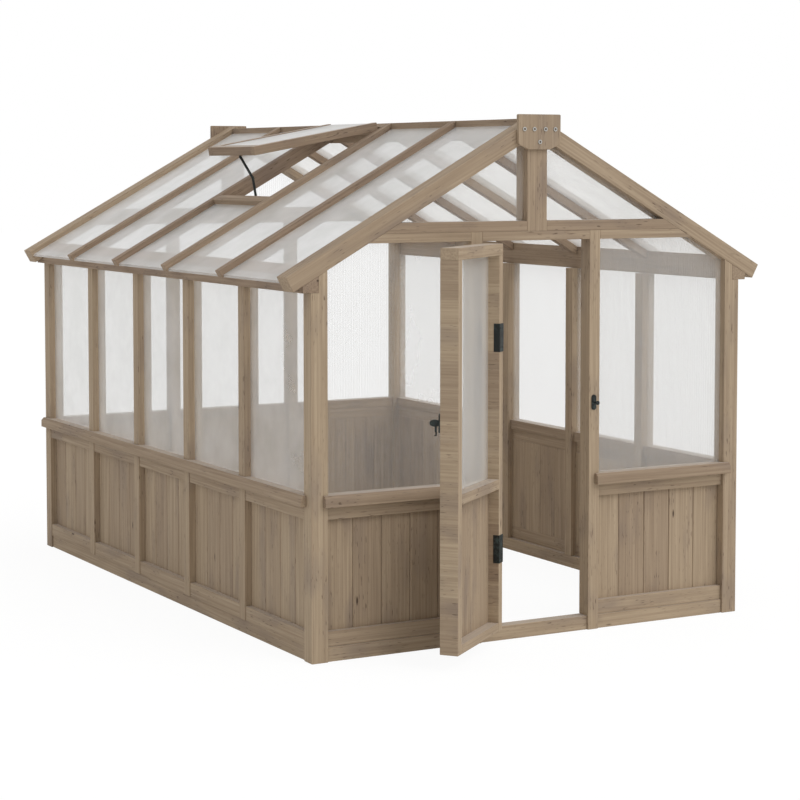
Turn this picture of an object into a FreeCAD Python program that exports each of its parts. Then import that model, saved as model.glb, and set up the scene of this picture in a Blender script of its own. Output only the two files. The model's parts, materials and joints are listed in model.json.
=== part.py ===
import FreeCAD, Part
import os
import re
import Sketcher

# Wooden greenhouse: timber frame, boarded dado, twin-wall glazing, one outward door, one roof vent.
# X runs along the front gable, Y from the front to the back, Z up. The origin is the middle of the
# front sill's underside. The door and the vent stand open, as they do in use.

SIZES = {
    # main frame
    "overall_width": 2400,
    "overall_length": 3500,
    "wall_height": 1684,
    "roof_pitch": 29,
    "bay_pitch": 668,
    "corner_width": 84,
    "post_depth": 78,
    "side_post_width": 66,
    "sill_height": 68,
    "sill_depth": 66,
    "sill_setback": 10,
    "plate_width": 81,
    "plate_face": 75,
    "plate_outboard": 41,
    # doorway and gable
    "doorway_width": 604,
    "doorway_height": 1902,
    "door_post_width": 60,
    "rear_middle_width": 734,
    "head_height": 43,
    "tie_height": 49,
    "king_width": 110,
    "king_lap": 40,
    "rake_width": 100,
    "gusset_width": 236,
    "gusset_height": 166,
    "gusset_rise": 6,
    "gusset_thick": 20,
    "gusset_foot": 116,
    "gusset_shoulder": 24,
    "gusset_corner": 6,
    "gusset_sweep": 24,
    "bolt_spread_outer": 172,
    "bolt_spread_inner": 62,
    "bolt_row_drop": 70,
    "bolt_low_drop": 130,
    "bolt_head_width": 20,
    "bolt_head_height": 4,
    "bolt_socket_width": 11,
    "bolt_socket_depth": 3.2,
    # roof
    "rafter_depth": 76,
    "rafter_width": 50,
    "eave_overhang": 124,
    "ridge_width": 44,
    "ridge_drop": 12,
    "ridge_board_height": 100,
    "roof_pane_recess": 28,
    "roof_pane_overhang": 100,
    # dado
    "dado_height": 766,
    "cap_height": 54,
    "cap_projection": 29,
    "cap_inside": 62,
    "cap_ear": 26,
    "cap_rear_ear": 76,
    "cap_bevel": 15,
    "top_rail_height": 61,
    "bottom_rail_height": 70,
    "rail_thick": 44,
    "gable_rail_setback": 16,
    "side_rail_setback": 4,
    "board_thick": 14,
    "board_gap": 1,
    "board_groove": 4,
    # glazing
    "pane_thick": 10,
    "pane_setback": 34,
    # door
    "door_angle": 141,
    "door_thick": 88,
    "door_hinge_gap": 5,
    "door_latch_gap": 4,
    "door_sill_gap": 6,
    "door_head_gap": 9,
    "stile_width": 48,
    "door_top_rail": 54,
    "door_mid_rail": 47,
    "door_mid_height": 747,
    "door_bottom_rail": 42,
    "door_pane_setback": 22,
    "door_drip": 7,
    # door hinges
    "hinge_height": 132,
    "hinge_low_middle": 464,
    "hinge_high_middle": 1456,
    "hinge_leaf": 2.2,
    "hinge_proud": 8,
    "hinge_barrel": 6.5,
    "hinge_pin": 3,
    "hinge_play": 0.05,
    "hinge_knuckle_gap": 0.5,
    "hinge_wrap": 28,
    "jamb_leaf_reach": 62,
    # latch and keeper
    "latch_height": 1112,
    "latch_inset": 16,
    "latch_plate_width": 26,
    "latch_plate_height": 88,
    "latch_plate_thick": 8,
    "latch_spindle": 6,
    "latch_play": 0.05,
    "latch_arm_reach": 46,
    "latch_boss": 10,
    "latch_arm_width": 15,
    "latch_arm_thick": 5,
    "latch_arm_stand": 24,
    "latch_fork_web": 4.5,
    "latch_fork_lip": 1.5,
    "latch_knob_radius": 15,
    "latch_knob_stand": 40,
    "latch_knob_end": 55,
    "latch_knob_edge": 4,
    "latch_end_play": 0.3,
    "keeper_plate_height": 74,
    "keeper_plate_thick": 5,
    "keeper_neck": 5,
    "keeper_clear": 0.75,
    "keeper_head": 10,
    "keeper_head_stand": 31,
    "keeper_end": 41,
    "keeper_edge": 3,
    # roof vent
    "vent_angle": 18.7,
    "vent_axis_from_peak": 70,
    "vent_axis_rise": 1.25,
    "vent_axis_gap": 6,
    "vent_length": 733,
    "vent_side_gap": 20.5,
    "vent_thick": 46,
    "vent_proud": 28,
    "vent_stile": 48,
    "vent_rail": 55,
    "vent_pane_recess": 4,
    "trimmer_end_gap": 3,
    "trimmer_width": 52,
    "vent_stop_width": 22,
    "vent_stop_height": 26,
    "vent_stop_length": 72,
    "vent_stop_gap": 1.5,
    # vent hinges and stay
    "vent_leaf_length": 90,
    "vent_leaf_reach": 32,
    "vent_leaf": 2.5,
    "vent_leaf_edge": 2,
    "vent_barrel": 5,
    "vent_pin": 2.5,
    "vent_hinge_inset": 90,
    "stay_inset": 215,
    "stay_arm_width": 13,
    "stay_arm_thick": 4,
    "stay_gap": 0.4,
    "stay_pin": 3,
    "stay_rivet": 5,
    "stay_rivet_height": 2,
    "stay_foot_clear": 8,
    "stay_foot_depth": 40,
    "stay_head_clear": 11,
    "stay_head_drop": 12,
    "stay_lower_share": 0.522,
    "stay_upper_share": 0.498,
}

# Flat left between two rounded corners, so that they never meet in one line
SLIVER = 0.05

doc = FreeCAD.newDocument("Greenhouse")
sheet = doc.addObject("Spreadsheet::Sheet", "Sizes")
for row, (alias, size) in enumerate(SIZES.items(), 1):
    sheet.set(f"A{row}", alias)
    sheet.set(f"B{row}", str(size))
    sheet.setAlias(f"B{row}", alias)
doc.recompute()

nodes = []


def formula(text):
    """Turn every size name in the text into a reference to its cell."""
    return re.sub(r"[a-z_]+", lambda m: f"Sizes.{m.group()}" if m.group() in SIZES else m.group(), str(text))


def bind(item, path, text):
    item.setExpression(path, formula(text))


def number(text):
    return float(sheet.evalExpression(formula(text)))


def node(label, item):
    """Give a finished sub-part its name and keep it for the export."""
    item.Label = label
    nodes.append(item)
    return item


def group(label, members):
    """Several separate solids of one kind under one name."""
    bundle = doc.addObject("Part::Compound", label)
    bundle.Links = members
    return node(label, bundle)


def place(item, x, y, z, turn=0, axis=(0, 0, 1)):
    """Put a piece's own origin at x, y, z, turned about an axis by a fixed angle."""
    item.Placement = FreeCAD.Placement(FreeCAD.Vector(), FreeCAD.Rotation(FreeCAD.Vector(*axis), turn))
    for letter, text in zip("xyz", (x, y, z)):
        bind(item, f"Placement.Base.{letter}", text)
    return item


def bar(name, length, depth, height):
    """A plain squared timber or plate with one corner at its own origin."""
    piece = doc.addObject("Part::Box", name)
    for path, text in (("Length", length), ("Width", depth), ("Height", height)):
        bind(piece, path, text)
    return piece


def rod(name, radius, length, x, y, z, turn=0, axis=(1, 0, 0)):
    """A round pin or hole, along Z before it is turned."""
    piece = doc.addObject("Part::Cylinder", name)
    bind(piece, "Radius", radius)
    bind(piece, "Height", length)
    return place(piece, x, y, z, turn, axis)


def sketch_on(body, plane, name, offset=("0", "0", "0")):
    """An empty sketch on one of the body's own origin planes, shifted by an offset in that plane's axes."""
    planes = {feature.Role: feature for feature in body.Origin.OriginFeatures}
    sketch = body.newObject("Sketcher::SketchObject", name)
    sketch.AttachmentSupport = [(planes[plane], "")]
    sketch.MapMode = "FlatFace"
    for letter, text in zip("xyz", offset):
        bind(sketch, f"AttachmentOffset.Base.{letter}", text)
    return sketch


def draw(sketch, outline):
    """Close a straight-sided outline and tie each corner to the sheet."""
    corners = [FreeCAD.Vector(number(x), number(y), 0) for x, y in outline]
    count = len(corners)
    for i in range(count):
        sketch.addGeometry(Part.LineSegment(corners[i], corners[(i + 1) % count]), False)
    for i in range(count):
        sketch.addConstraint(Sketcher.Constraint("Coincident", i, 2, (i + 1) % count, 1))
    for i, (x, y) in enumerate(outline):
        for kind, text in (("DistanceX", x), ("DistanceY", y)):
            index = sketch.addConstraint(Sketcher.Constraint(kind, -1, 1, i, 1, number(text)))
            bind(sketch, f"Constraints[{index}]", text)


def pad(body, sketch, length, backwards=False):
    feature = body.newObject("PartDesign::Pad", sketch.Name + "Pad")
    feature.Profile = sketch
    feature.Reversed = backwards
    bind(feature, "Length", length)
    sketch.Visibility = False
    return feature


def upright(name, outline, length):
    """A plan outline raised by a length from its own XY plane."""
    body = doc.addObject("PartDesign::Body", name)
    sketch = sketch_on(body, "XY_Plane", name + "Plan")
    draw(sketch, outline)
    pad(body, sketch, length)
    return body


def slab(name, outline, y, width):
    """An outline in X and Z carried along +Y from y by a width."""
    body = doc.addObject("PartDesign::Body", name)
    sketch = sketch_on(body, "XZ_Plane", name + "Side")
    draw(sketch, outline)
    pad(body, sketch, width, backwards=True)
    return place(body, "0", y, "0")


def cut(name, base, tools):
    """Take tools out of a base piece."""
    cutter = tools[0]
    if len(tools) > 1:
        cutter = doc.addObject("Part::MultiFuse", name + "Tools")
        cutter.Shapes = tools
    result = doc.addObject("Part::Cut", name)
    result.Base = base
    result.Tool = cutter
    return result


def fuse(name, pieces):
    result = doc.addObject("Part::MultiFuse", name)
    result.Shapes = pieces
    return result


def straight_edges(shape, axis):
    """Names of the straight edges that run along an axis."""
    names = []
    for i, edge in enumerate(shape.Edges, 1):
        run = edge.Vertexes[-1].Point - edge.Vertexes[0].Point
        if isinstance(edge.Curve, Part.Line) and run.cross(FreeCAD.Vector(*axis)).Length < 1e-6 * run.Length:
            names.append(f"Edge{i}")
    return names


# Reference places, all worked out from the sheet
HALF = "overall_width / 2"
FRONT = "(-(sill_setback + sill_depth / 2))"
REAR = f"({FRONT} + overall_length)"
EAVE = "(overall_width / 2 + eave_overhang)"
HEEL = "(overall_width / 2 + plate_outboard - plate_width)"
TAIL = "(roof_pane_recess + pane_thick)"
RISE = "(tan(roof_pitch) * (overall_width / 2 + plate_outboard))"
PEAK = f"(wall_height + plate_face + {TAIL} / cos(roof_pitch) + {RISE})"
TIE_LOW = "(doorway_height + head_height)"
TIE_TOP = "(doorway_height + head_height + tie_height)"
CAP_LOW = "(dado_height - cap_height)"
RAIL_LOW = "(dado_height - cap_height - top_rail_height)"
BOARD_LOW = "(sill_height + bottom_rail_height)"
DOOR_SIDE = "(doorway_width / 2)"
DOOR_OUT = "(doorway_width / 2 + door_post_width)"
# Inner and outer faces of the two middle posts of each gable wall, from the middle
MIDDLE_POSTS = {
    "front": (DOOR_SIDE, DOOR_OUT),
    "rear": ("(rear_middle_width / 2)", "(rear_middle_width / 2 + door_post_width)"),
}


def roof_top(x):
    """Height of the roof's upper plane at a distance x from the middle."""
    return f"({PEAK} - tan(roof_pitch) * ({x}))"


def roof_below(x, depth):
    """Height of the plane that lies a square depth under the roof's upper plane."""
    return f"({PEAK} - tan(roof_pitch) * ({x}) - ({depth}) / cos(roof_pitch))"


def under_at(z):
    """Distance from the middle at which the rafters' underside has height z."""
    return f"(({PEAK} - rafter_depth / cos(roof_pitch) - ({z})) / tan(roof_pitch))"


def mirrored(outline, side):
    return [(f"{side} * ({x})", z) for x, z in outline]


def gable_y(end, inward, depth):
    """Lower Y of a piece that lies inward of a gable's outer face."""
    if end == "front":
        return f"{FRONT} + {inward}"
    return f"{REAR} - ({inward}) - ({depth})"


WALLS = {
    "front": (0, lambda a, i: (f"-{HALF} + ({a})", f"{FRONT} + ({i})")),
    "rear": (180, lambda a, i: (f"{HALF} - ({a})", f"{REAR} - ({i})")),
    "left": (270, lambda a, i: (f"-{HALF} + ({i})", f"{REAR} - ({a})")),
    "right": (90, lambda a, i: (f"{HALF} - ({i})", f"{FRONT} + ({a})")),
}


def stand(item, wall, along, inward, z):
    """Place a piece in a wall: along it, inward from its outer face, and up."""
    turn, to_plan = WALLS[wall]
    x, y = to_plan(along, inward)
    return place(item, x, y, z, turn)


# Bays of each wall, as start and end along the wall
def side_post_start(i):
    return f"(overall_length / 2 + {i - 1.5} * bay_pitch - side_post_width / 2)"


def side_bays():
    bays = []
    start = "post_depth"
    for i in range(4):
        bays.append((start, side_post_start(i)))
        start = f"{side_post_start(i)} + side_post_width"
    bays.append((start, "overall_length - post_depth"))
    return bays


def gable_bays(wall):
    """Panels beside the two middle posts, and on the rear wall the one between them."""
    inner, outer = MIDDLE_POSTS[wall]
    bays = [("corner_width", f"{HALF} - {outer}")]
    if wall == "rear":
        bays.append((f"{HALF} - {inner}", f"{HALF} + {inner}"))
    bays.append((f"{HALF} + {outer}", "overall_width - corner_width"))
    return bays


BAYS = {
    "front": gable_bays("front"),
    "rear": gable_bays("rear"),
    "left": side_bays(),
    "right": side_bays(),
}
RAIL_SETBACK = {
    "front": "gable_rail_setback",
    "rear": "gable_rail_setback",
    "left": "side_rail_setback",
    "right": "side_rail_setback",
}
BOARDS = {"front": 5, "rear": 5, "left": 4, "right": 4}


def make_sills():
    """Ground timbers between the corner posts."""
    clear_width = "overall_width - 2 * corner_width"
    clear_length = "overall_length - 2 * post_depth"
    front = bar("FrontSill", clear_width, "sill_depth", "sill_height")
    node("front_sill", stand(front, "front", "corner_width", "sill_setback", "0"))
    rear = bar("RearSill", clear_width, "sill_depth", "sill_height")
    node("rear_sill", stand(rear, "rear", "corner_width", "sill_setback", "0"))
    sides = []
    for wall in ("left", "right"):
        piece = bar(f"{wall}Sill", clear_length, "sill_depth", "sill_height")
        sides.append(stand(piece, wall, "post_depth", "sill_setback", "0"))
    group("side_sills", sides)


def make_corner_posts():
    """Posts notched at the top for the wall plates, with a tongue that runs up under the rake."""
    inner = f"{HALF} - corner_width"
    outline = [
        (HALF, "0"),
        (HALF, "wall_height"),
        (HEEL, "wall_height"),
        (HEEL, roof_below(HEEL, "rafter_depth")),
        (inner, roof_below(inner, "rafter_depth")),
        (inner, "0"),
    ]
    for end in ("front", "rear"):
        posts = []
        for side in (-1, 1):
            name = f"{end}Corner{'Left' if side < 0 else 'Right'}"
            posts.append(slab(name, mirrored(outline, side), gable_y(end, "0", "post_depth"), "post_depth"))
        group(f"{end}_corner_posts", posts)


def make_side_posts():
    for wall in ("left", "right"):
        posts = []
        for i in range(4):
            post = bar(f"{wall}Post{i}", "side_post_width", "post_depth", "wall_height - sill_height")
            posts.append(stand(post, wall, side_post_start(i), "0", "sill_height"))
        group(f"{wall}_side_posts", posts)


def make_gable_posts():
    """Door posts, and the rear studs that stand wider apart, stepped over the sill down to the ground."""
    outline = [
        ("0", "0"),
        ("sill_setback", "0"),
        ("sill_setback", "sill_height"),
        ("post_depth", "sill_height"),
        ("post_depth", TIE_LOW),
        ("0", TIE_LOW),
    ]
    for wall, label in (("front", "door_posts"), ("rear", "rear_studs")):
        inner, outer = MIDDLE_POSTS[wall]
        posts = []
        for i, start in enumerate((f"{HALF} - {outer}", f"{HALF} + {inner}")):
            body = doc.addObject("PartDesign::Body", f"{wall}Stud{i}")
            sketch = sketch_on(body, "YZ_Plane", f"{wall}Stud{i}Side")
            draw(sketch, outline)
            pad(body, sketch, "door_post_width")
            posts.append(stand(body, wall, start, "0", "0"))
        group(label, posts)


def make_wall_plates():
    """Eave timbers on the posts, bevelled to the roof sheets and cut down at both ends for the rakes."""
    outer = f"({HALF} + plate_outboard)"
    outline = [
        (HEEL, "wall_height"),
        (outer, "wall_height"),
        (outer, roof_below(outer, TAIL)),
        (HEEL, roof_below(HEEL, TAIL)),
    ]
    near = f"({HEEL} - plate_outboard)"
    far = f"({outer} + plate_outboard)"
    seat = [
        (near, roof_top(near)),
        (far, roof_top(far)),
        (far, roof_below(far, "rafter_depth")),
        (near, roof_below(near, "rafter_depth")),
    ]
    plates = []
    for side in (-1, 1):
        plate = slab(f"Plate{side + 1}Beam", mirrored(outline, side), FRONT, "overall_length")
        seats = []
        for end in ("front", "rear"):
            name = f"Plate{side + 1}Seat{end}"
            seats.append(slab(name, mirrored(seat, side), gable_y(end, "0", "rake_width"), "rake_width"))
        plates.append(cut(f"Plate{side + 1}", plate, seats))
    group("wall_plates", plates)


def make_ties():
    """Tie beams cut to the rakes, with a half-lap that takes the foot of the king post."""
    outline = [
        (f"-{under_at(TIE_LOW)}", TIE_LOW),
        (under_at(TIE_LOW), TIE_LOW),
        (under_at(TIE_TOP), TIE_TOP),
        (f"-{under_at(TIE_TOP)}", TIE_TOP),
    ]
    for end in ("front", "rear"):
        beam = slab(f"{end}Tie", outline, gable_y(end, "0", "post_depth"), "post_depth")
        lap = bar(f"{end}TieLap", "king_width", "king_lap", "tie_height")
        place(lap, "-king_width / 2", gable_y(end, "0", "king_lap"), TIE_LOW)
        node(f"{end}_tie_beam", cut(f"{end}TieBeam", beam, [lap]))


def make_head_rails():
    """Rails under the tie beam: over the doorway or middle pane, and over each outer pane."""
    rails = []
    for end in ("front", "rear"):
        inner, outer = MIDDLE_POSTS[end]
        outline = [
            (outer, "doorway_height"),
            (under_at("doorway_height"), "doorway_height"),
            (under_at(TIE_LOW), TIE_LOW),
            (outer, TIE_LOW),
        ]
        middle = bar(f"{end}HeadMiddle", f"2 * {inner}", "post_depth", "head_height")
        rails.append(place(middle, f"-{inner}", gable_y(end, "0", "post_depth"), "doorway_height"))
        for side in (-1, 1):
            name = f"{end}Head{side + 1}"
            rails.append(slab(name, mirrored(outline, side), gable_y(end, "0", "post_depth"), "post_depth"))
    group("head_rails", rails)


def make_king_posts():
    """King posts pointed to fit under the rakes, lapped over the face of the tie beam."""
    side = "(king_width / 2)"
    outline = [
        (f"-{side}", TIE_TOP),
        (side, TIE_TOP),
        (side, roof_below(side, "rafter_depth")),
        ("0", roof_below("0", "rafter_depth")),
        (f"-{side}", roof_below(side, "rafter_depth")),
    ]
    posts = []
    for end in ("front", "rear"):
        shaft = slab(f"{end}King", outline, gable_y(end, "0", "rake_width"), "rake_width")
        foot = bar(f"{end}KingFoot", "king_width", "king_lap", "tie_height")
        place(foot, f"-{side}", gable_y(end, "0", "king_lap"), TIE_LOW)
        posts.append(fuse(f"{end}KingPost", [shaft, foot]))
    group("king_posts", posts)


def eave_cut(depth):
    """Lower corner of the square cut at the eave, on a timber of that depth."""
    return f"{EAVE} - {depth} * sin(roof_pitch)", f"{roof_top(EAVE)} - {depth} * cos(roof_pitch)"


def rake_outline():
    """Plumb cut at the peak, full depth down to a square cut at the eave."""
    return [
        ("0", roof_top("0")),
        (EAVE, roof_top(EAVE)),
        eave_cut("rafter_depth"),
        ("0", roof_below("0", "rafter_depth")),
    ]


def rafter_outline():
    """Plumb cut at the ridge board, heel against the wall plate, thin tail out over it."""
    inner = "(ridge_width / 2)"
    return [
        (inner, roof_top(inner)),
        (EAVE, roof_top(EAVE)),
        eave_cut(TAIL),
        (HEEL, roof_below(HEEL, TAIL)),
        (HEEL, roof_below(HEEL, "rafter_depth")),
        (inner, roof_below(inner, "rafter_depth")),
    ]


def rafter_y(i):
    """Lower Y of the rafter over side post i, counted from the front."""
    return f"({FRONT} + overall_length / 2 + {i - 1.5} * bay_pitch - rafter_width / 2)"


def make_rafters():
    for end in ("front", "rear"):
        pair = []
        for side in (-1, 1):
            outline = mirrored(rake_outline(), side)
            y = gable_y(end, "0", "rake_width")
            pair.append(slab(f"{end}Rake{side + 1}", outline, y, "rake_width"))
        group(f"{end}_rakes", pair)
    for side, label in ((-1, "left_rafters"), (1, "right_rafters")):
        rafters = []
        for i in range(4):
            outline = mirrored(rafter_outline(), side)
            rafters.append(slab(f"Rafter{side + 1}{i}", outline, rafter_y(i), "rafter_width"))
        group(label, rafters)


def make_ridge():
    """Ridge board between the two pairs of rakes."""
    board = bar("Ridge", "ridge_width", "overall_length - 2 * rake_width", "ridge_board_height")
    low = f"{PEAK} - ridge_drop - ridge_board_height"
    node("ridge_board", place(board, "-ridge_width / 2", f"{FRONT} + rake_width", low))


def roof_bays():
    """Lower and upper Y of the clear spaces between rakes and rafters."""
    edges = [f"({FRONT} + rake_width)"]
    for i in range(4):
        edges.append(rafter_y(i))
        edges.append(f"({rafter_y(i)} + rafter_width)")
    edges.append(f"({REAR} - rake_width)")
    return list(zip(edges[0::2], edges[1::2]))


VENT_BAY = 2
VENT_LOW_END = "(vent_axis_gap + vent_length)"
TRIMMER_START = f"({VENT_LOW_END} + trimmer_end_gap)"
TRIMMER_END = f"({TRIMMER_START} + trimmer_width)"
SASH_BOTTOM = "(vent_proud - vent_thick)"


def slope_point(run, rise):
    """A point on the left slope: run down from the vent's axis, rise above the roof's upper plane."""
    along = f"(vent_axis_from_peak + {run})"
    x = f"-({along} * cos(roof_pitch) + ({rise}) * sin(roof_pitch))"
    z = f"{PEAK} - {along} * sin(roof_pitch) + ({rise}) * cos(roof_pitch)"
    return x, z


VENT_AXIS = slope_point("0", "vent_axis_rise")


def sash_point(run, rise):
    """The same point carried round the vent's axis to where the open sash holds it."""
    tilt = "(roof_pitch - vent_angle)"
    lift = f"(({rise}) - vent_axis_rise)"
    x = f"{VENT_AXIS[0]} - ({run}) * cos{tilt} - {lift} * sin{tilt}"
    z = f"{VENT_AXIS[1]} - ({run}) * sin{tilt} + {lift} * cos{tilt}"
    return x, z


def make_roof_panes():
    """Twin-wall sheets set down between the rafters. The vent's bay has a short one under the trimmer."""
    inner = "(ridge_width / 2)"
    outer = f"({HALF} + roof_pane_overhang)"
    full = [
        (inner, roof_below(inner, "roof_pane_recess")),
        (outer, roof_below(outer, "roof_pane_recess")),
        (outer, roof_below(outer, TAIL)),
        (inner, roof_below(inner, TAIL)),
    ]
    short = [
        slope_point(TRIMMER_END, "-roof_pane_recess"),
        (f"-{outer}", roof_below(outer, "roof_pane_recess")),
        (f"-{outer}", roof_below(outer, TAIL)),
        slope_point(TRIMMER_END, f"-{TAIL}"),
    ]
    for side, label in ((-1, "left_roof_panes"), (1, "right_roof_panes")):
        panes = []
        for i, (low, high) in enumerate(roof_bays()):
            outline = mirrored(full, side)
            if side < 0 and i == VENT_BAY:
                outline = short
            panes.append(slab(f"RoofPane{side + 1}{i}", outline, low, f"{high} - {low}"))
        group(label, panes)


def make_dado(wall):
    """Rails, grooved boards and cap of one wall, bay by bay."""
    setback = RAIL_SETBACK[wall]
    rails = []
    panels = []
    board_in = f"{setback} + rail_thick - board_thick"
    count = BOARDS[wall]
    for i, (start, end) in enumerate(BAYS[wall]):
        clear = f"({end} - ({start}))"
        for part, low, height in (
            ("Top", RAIL_LOW, "top_rail_height"),
            ("Bottom", "sill_height", "bottom_rail_height"),
        ):
            rail = bar(f"{wall}{part}Rail{i}", clear, "rail_thick", height)
            rails.append(stand(rail, wall, start, setback, low))
        step = f"({clear} + board_gap) / {count}"
        width = f"({step} - board_gap)"
        profile = [
            ("0", "board_thick"),
            ("0", "board_groove"),
            ("board_groove", "0"),
            (f"{width} - board_groove", "0"),
            (width, "board_groove"),
            (width, "board_thick"),
        ]
        body = upright(f"{wall}Boards{i}", profile, f"{RAIL_LOW} - {BOARD_LOW}")
        body.AllowCompound = True
        first = body.Tip
        row = body.newObject("PartDesign::LinearPattern", f"{wall}BoardRow{i}")
        row.Originals = [first]
        row.Direction = (first.Profile[0], ["H_Axis"])
        bind(row, "Length", f"{step} * {count - 1}")
        row.Occurrences = count
        body.Tip = row
        panels.append(stand(body, wall, start, board_in, BOARD_LOW))
    group(f"{wall}_dado_rails", rails)
    group(f"{wall}_dado_boards", panels)


def cap_board(name, length, start_ear="cap_ear", end_ear="cap_ear"):
    """A window-board: a tongue between the posts, and a nosing with ears that lap over their faces."""
    outline = [
        ("0", "0"),
        (f"-{start_ear}", "0"),
        (f"-{start_ear}", "-cap_projection"),
        (f"{length} + {end_ear}", "-cap_projection"),
        (f"{length} + {end_ear}", "0"),
        (length, "0"),
        (length, "cap_inside"),
        ("0", "cap_inside"),
    ]
    body = upright(name, outline, "cap_height")
    doc.recompute()
    square = body.Tip
    nose = [e for e in straight_edges(square.Shape, (1, 0, 0)) if is_nose(square.Shape.getElement(e))]
    bevel = body.newObject("PartDesign::Chamfer", name + "Bevel")
    bevel.Base = (square, nose)
    bind(bevel, "Size", "cap_bevel")
    body.Tip = bevel
    return body


def is_nose(edge):
    """True for the upper front edge of a cap board."""
    middle = edge.CenterOfMass
    return abs(middle.y + number("cap_projection")) < 1e-3 and middle.z > number("cap_height") - 1e-3


def make_caps():
    for wall in ("front", "rear"):
        caps = []
        for i, (start, end) in enumerate(BAYS[wall]):
            board = cap_board(f"{wall}Cap{i}", f"({end} - ({start}))")
            caps.append(stand(board, wall, start, "0", CAP_LOW))
        group(f"{wall}_dado_caps", caps)
    for wall, ears in (("left", ("cap_rear_ear", "cap_ear")), ("right", ("cap_ear", "cap_rear_ear"))):
        board = cap_board(f"{wall}CapBoard", "(overall_length - 2 * post_depth)", *ears)
        stand(board, wall, "post_depth", "0", CAP_LOW)
        notches = []
        for i in range(4):
            notch = bar(f"{wall}CapNotch{i}", "side_post_width", "post_depth", "cap_height")
            notches.append(stand(notch, wall, side_post_start(i), "0", CAP_LOW))
        node(f"{wall}_dado_cap", cut(f"{wall}Cap", board, notches))


def wall_pane(name, wall, outline):
    """A sheet whose outline is given along the wall and up, set in from the wall's face."""
    body = doc.addObject("PartDesign::Body", name)
    sketch = sketch_on(body, "XZ_Plane", name + "Face")
    draw(sketch, outline)
    pad(body, sketch, "pane_thick", backwards=True)
    return stand(body, wall, "0", "pane_setback", "0")


def make_wall_panes():
    corner = f"({HALF} - corner_width)"
    for wall in ("front", "rear"):
        inner, outer = MIDDLE_POSTS[wall]
        beside = [
            (outer, "dado_height"),
            (corner, "dado_height"),
            (corner, roof_below(corner, "rafter_depth")),
            (under_at("doorway_height"), "doorway_height"),
            (outer, "doorway_height"),
        ]
        shapes = [mirrored(beside, -1), mirrored(beside, 1)]
        if wall == "rear":
            low, high = "dado_height", "doorway_height"
            shapes.append([(f"-{inner}", low), (inner, low), (inner, high), (f"-{inner}", high)])
        panes = []
        for i, shape in enumerate(shapes):
            along = [(f"{HALF} + {x}", z) for x, z in shape]
            panes.append(wall_pane(f"{wall}Pane{i}", wall, along))
        group(f"{wall}_wall_panes", panes)
    for wall in ("left", "right"):
        panes = []
        for i, (start, end) in enumerate(BAYS[wall]):
            low, high = ("dado_height", "wall_height")
            outline = [(start, low), (end, low), (end, high), (start, high)]
            panes.append(wall_pane(f"{wall}Pane{i}", wall, outline))
        group(f"{wall}_wall_panes", panes)


def make_gable_panes():
    """Triangular sheets between tie beam, king post and rakes."""
    side = "(king_width / 2)"
    outline = [
        (side, TIE_TOP),
        (under_at(TIE_TOP), TIE_TOP),
        (side, roof_below(side, "rafter_depth")),
    ]
    panes = []
    for end in ("front", "rear"):
        for sign in (-1, 1):
            y = gable_y(end, "pane_setback", "pane_thick")
            panes.append(slab(f"{end}Gable{sign + 1}", mirrored(outline, sign), y, "pane_thick"))
    group("gable_panes", panes)


def gusset(name, outline, y):
    """A shield: the outline's corners rounded, the lower ones in one soft sweep."""
    body = doc.addObject("PartDesign::Body", name)
    sketch = sketch_on(body, "XZ_Plane", name + "Side")
    draw(sketch, outline)
    plate = pad(body, sketch, "gusset_thick", backwards=True)
    doc.recompute()
    shoulder = number(outline[1][1]) + 1
    for label, size, is_top in (("Top", "gusset_corner", True), ("Sweep", "gusset_sweep", False)):
        edges = straight_edges(plate.Shape, (0, 1, 0))
        heights = {e: plate.Shape.getElement(e).CenterOfMass.z for e in edges}
        rounded = body.newObject("PartDesign::Fillet", name + label)
        rounded.Base = (plate, [e for e, z in heights.items() if (z > shoulder) == is_top])
        bind(rounded, "Radius", size)
        doc.recompute()
        plate = rounded
    body.Tip = plate
    return place(body, "0", y, "0")


def make_gussets():
    """Peak plates with drawn-in lower corners, and the round socket-headed bolts that hold them."""
    top = f"({PEAK} + gusset_rise)"
    low = f"({top} - gusset_height)"
    wide = "(gusset_width / 2)"
    foot = "(gusset_foot / 2)"
    outline = [
        (f"-{wide}", top),
        (f"-{wide}", f"{low} + gusset_shoulder"),
        (f"-{foot}", low),
        (foot, low),
        (wide, f"{low} + gusset_shoulder"),
        (wide, top),
    ]
    places = [(f"{sign} * {spread} / 2", f"{top} - bolt_row_drop") for sign in (-1, 1)
              for spread in ("bolt_spread_outer", "bolt_spread_inner")]
    places.append(("0", f"{top} - bolt_low_drop"))
    plates = []
    bolts = []
    for end, outward, sign in (("front", 90, "-"), ("rear", -90, "+")):
        y = gable_y(end, "-gusset_thick", "gusset_thick")
        plates.append(gusset(f"{end}Gusset", outline, y))
        face = f"{FRONT} - gusset_thick" if end == "front" else f"{REAR} + gusset_thick"
        socket_floor = f"{face} {sign} (bolt_head_height - bolt_socket_depth)"
        for i, (x, z) in enumerate(places):
            head = rod(f"{end}Head{i}", "bolt_head_width / 2", "bolt_head_height", x, face, z, outward)
            socket = doc.addObject("Part::Prism", f"{end}Socket{i}")
            socket.Polygon = 6
            bind(socket, "Circumradius", "bolt_socket_width / 2 / cos(30)")
            bind(socket, "Height", "bolt_head_height")
            place(socket, x, socket_floor, z, outward, (1, 0, 0))
            bolts.append(cut(f"{end}Bolt{i}", head, [socket]))
    group("gusset_plates", plates)
    group("gusset_bolts", bolts)


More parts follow.
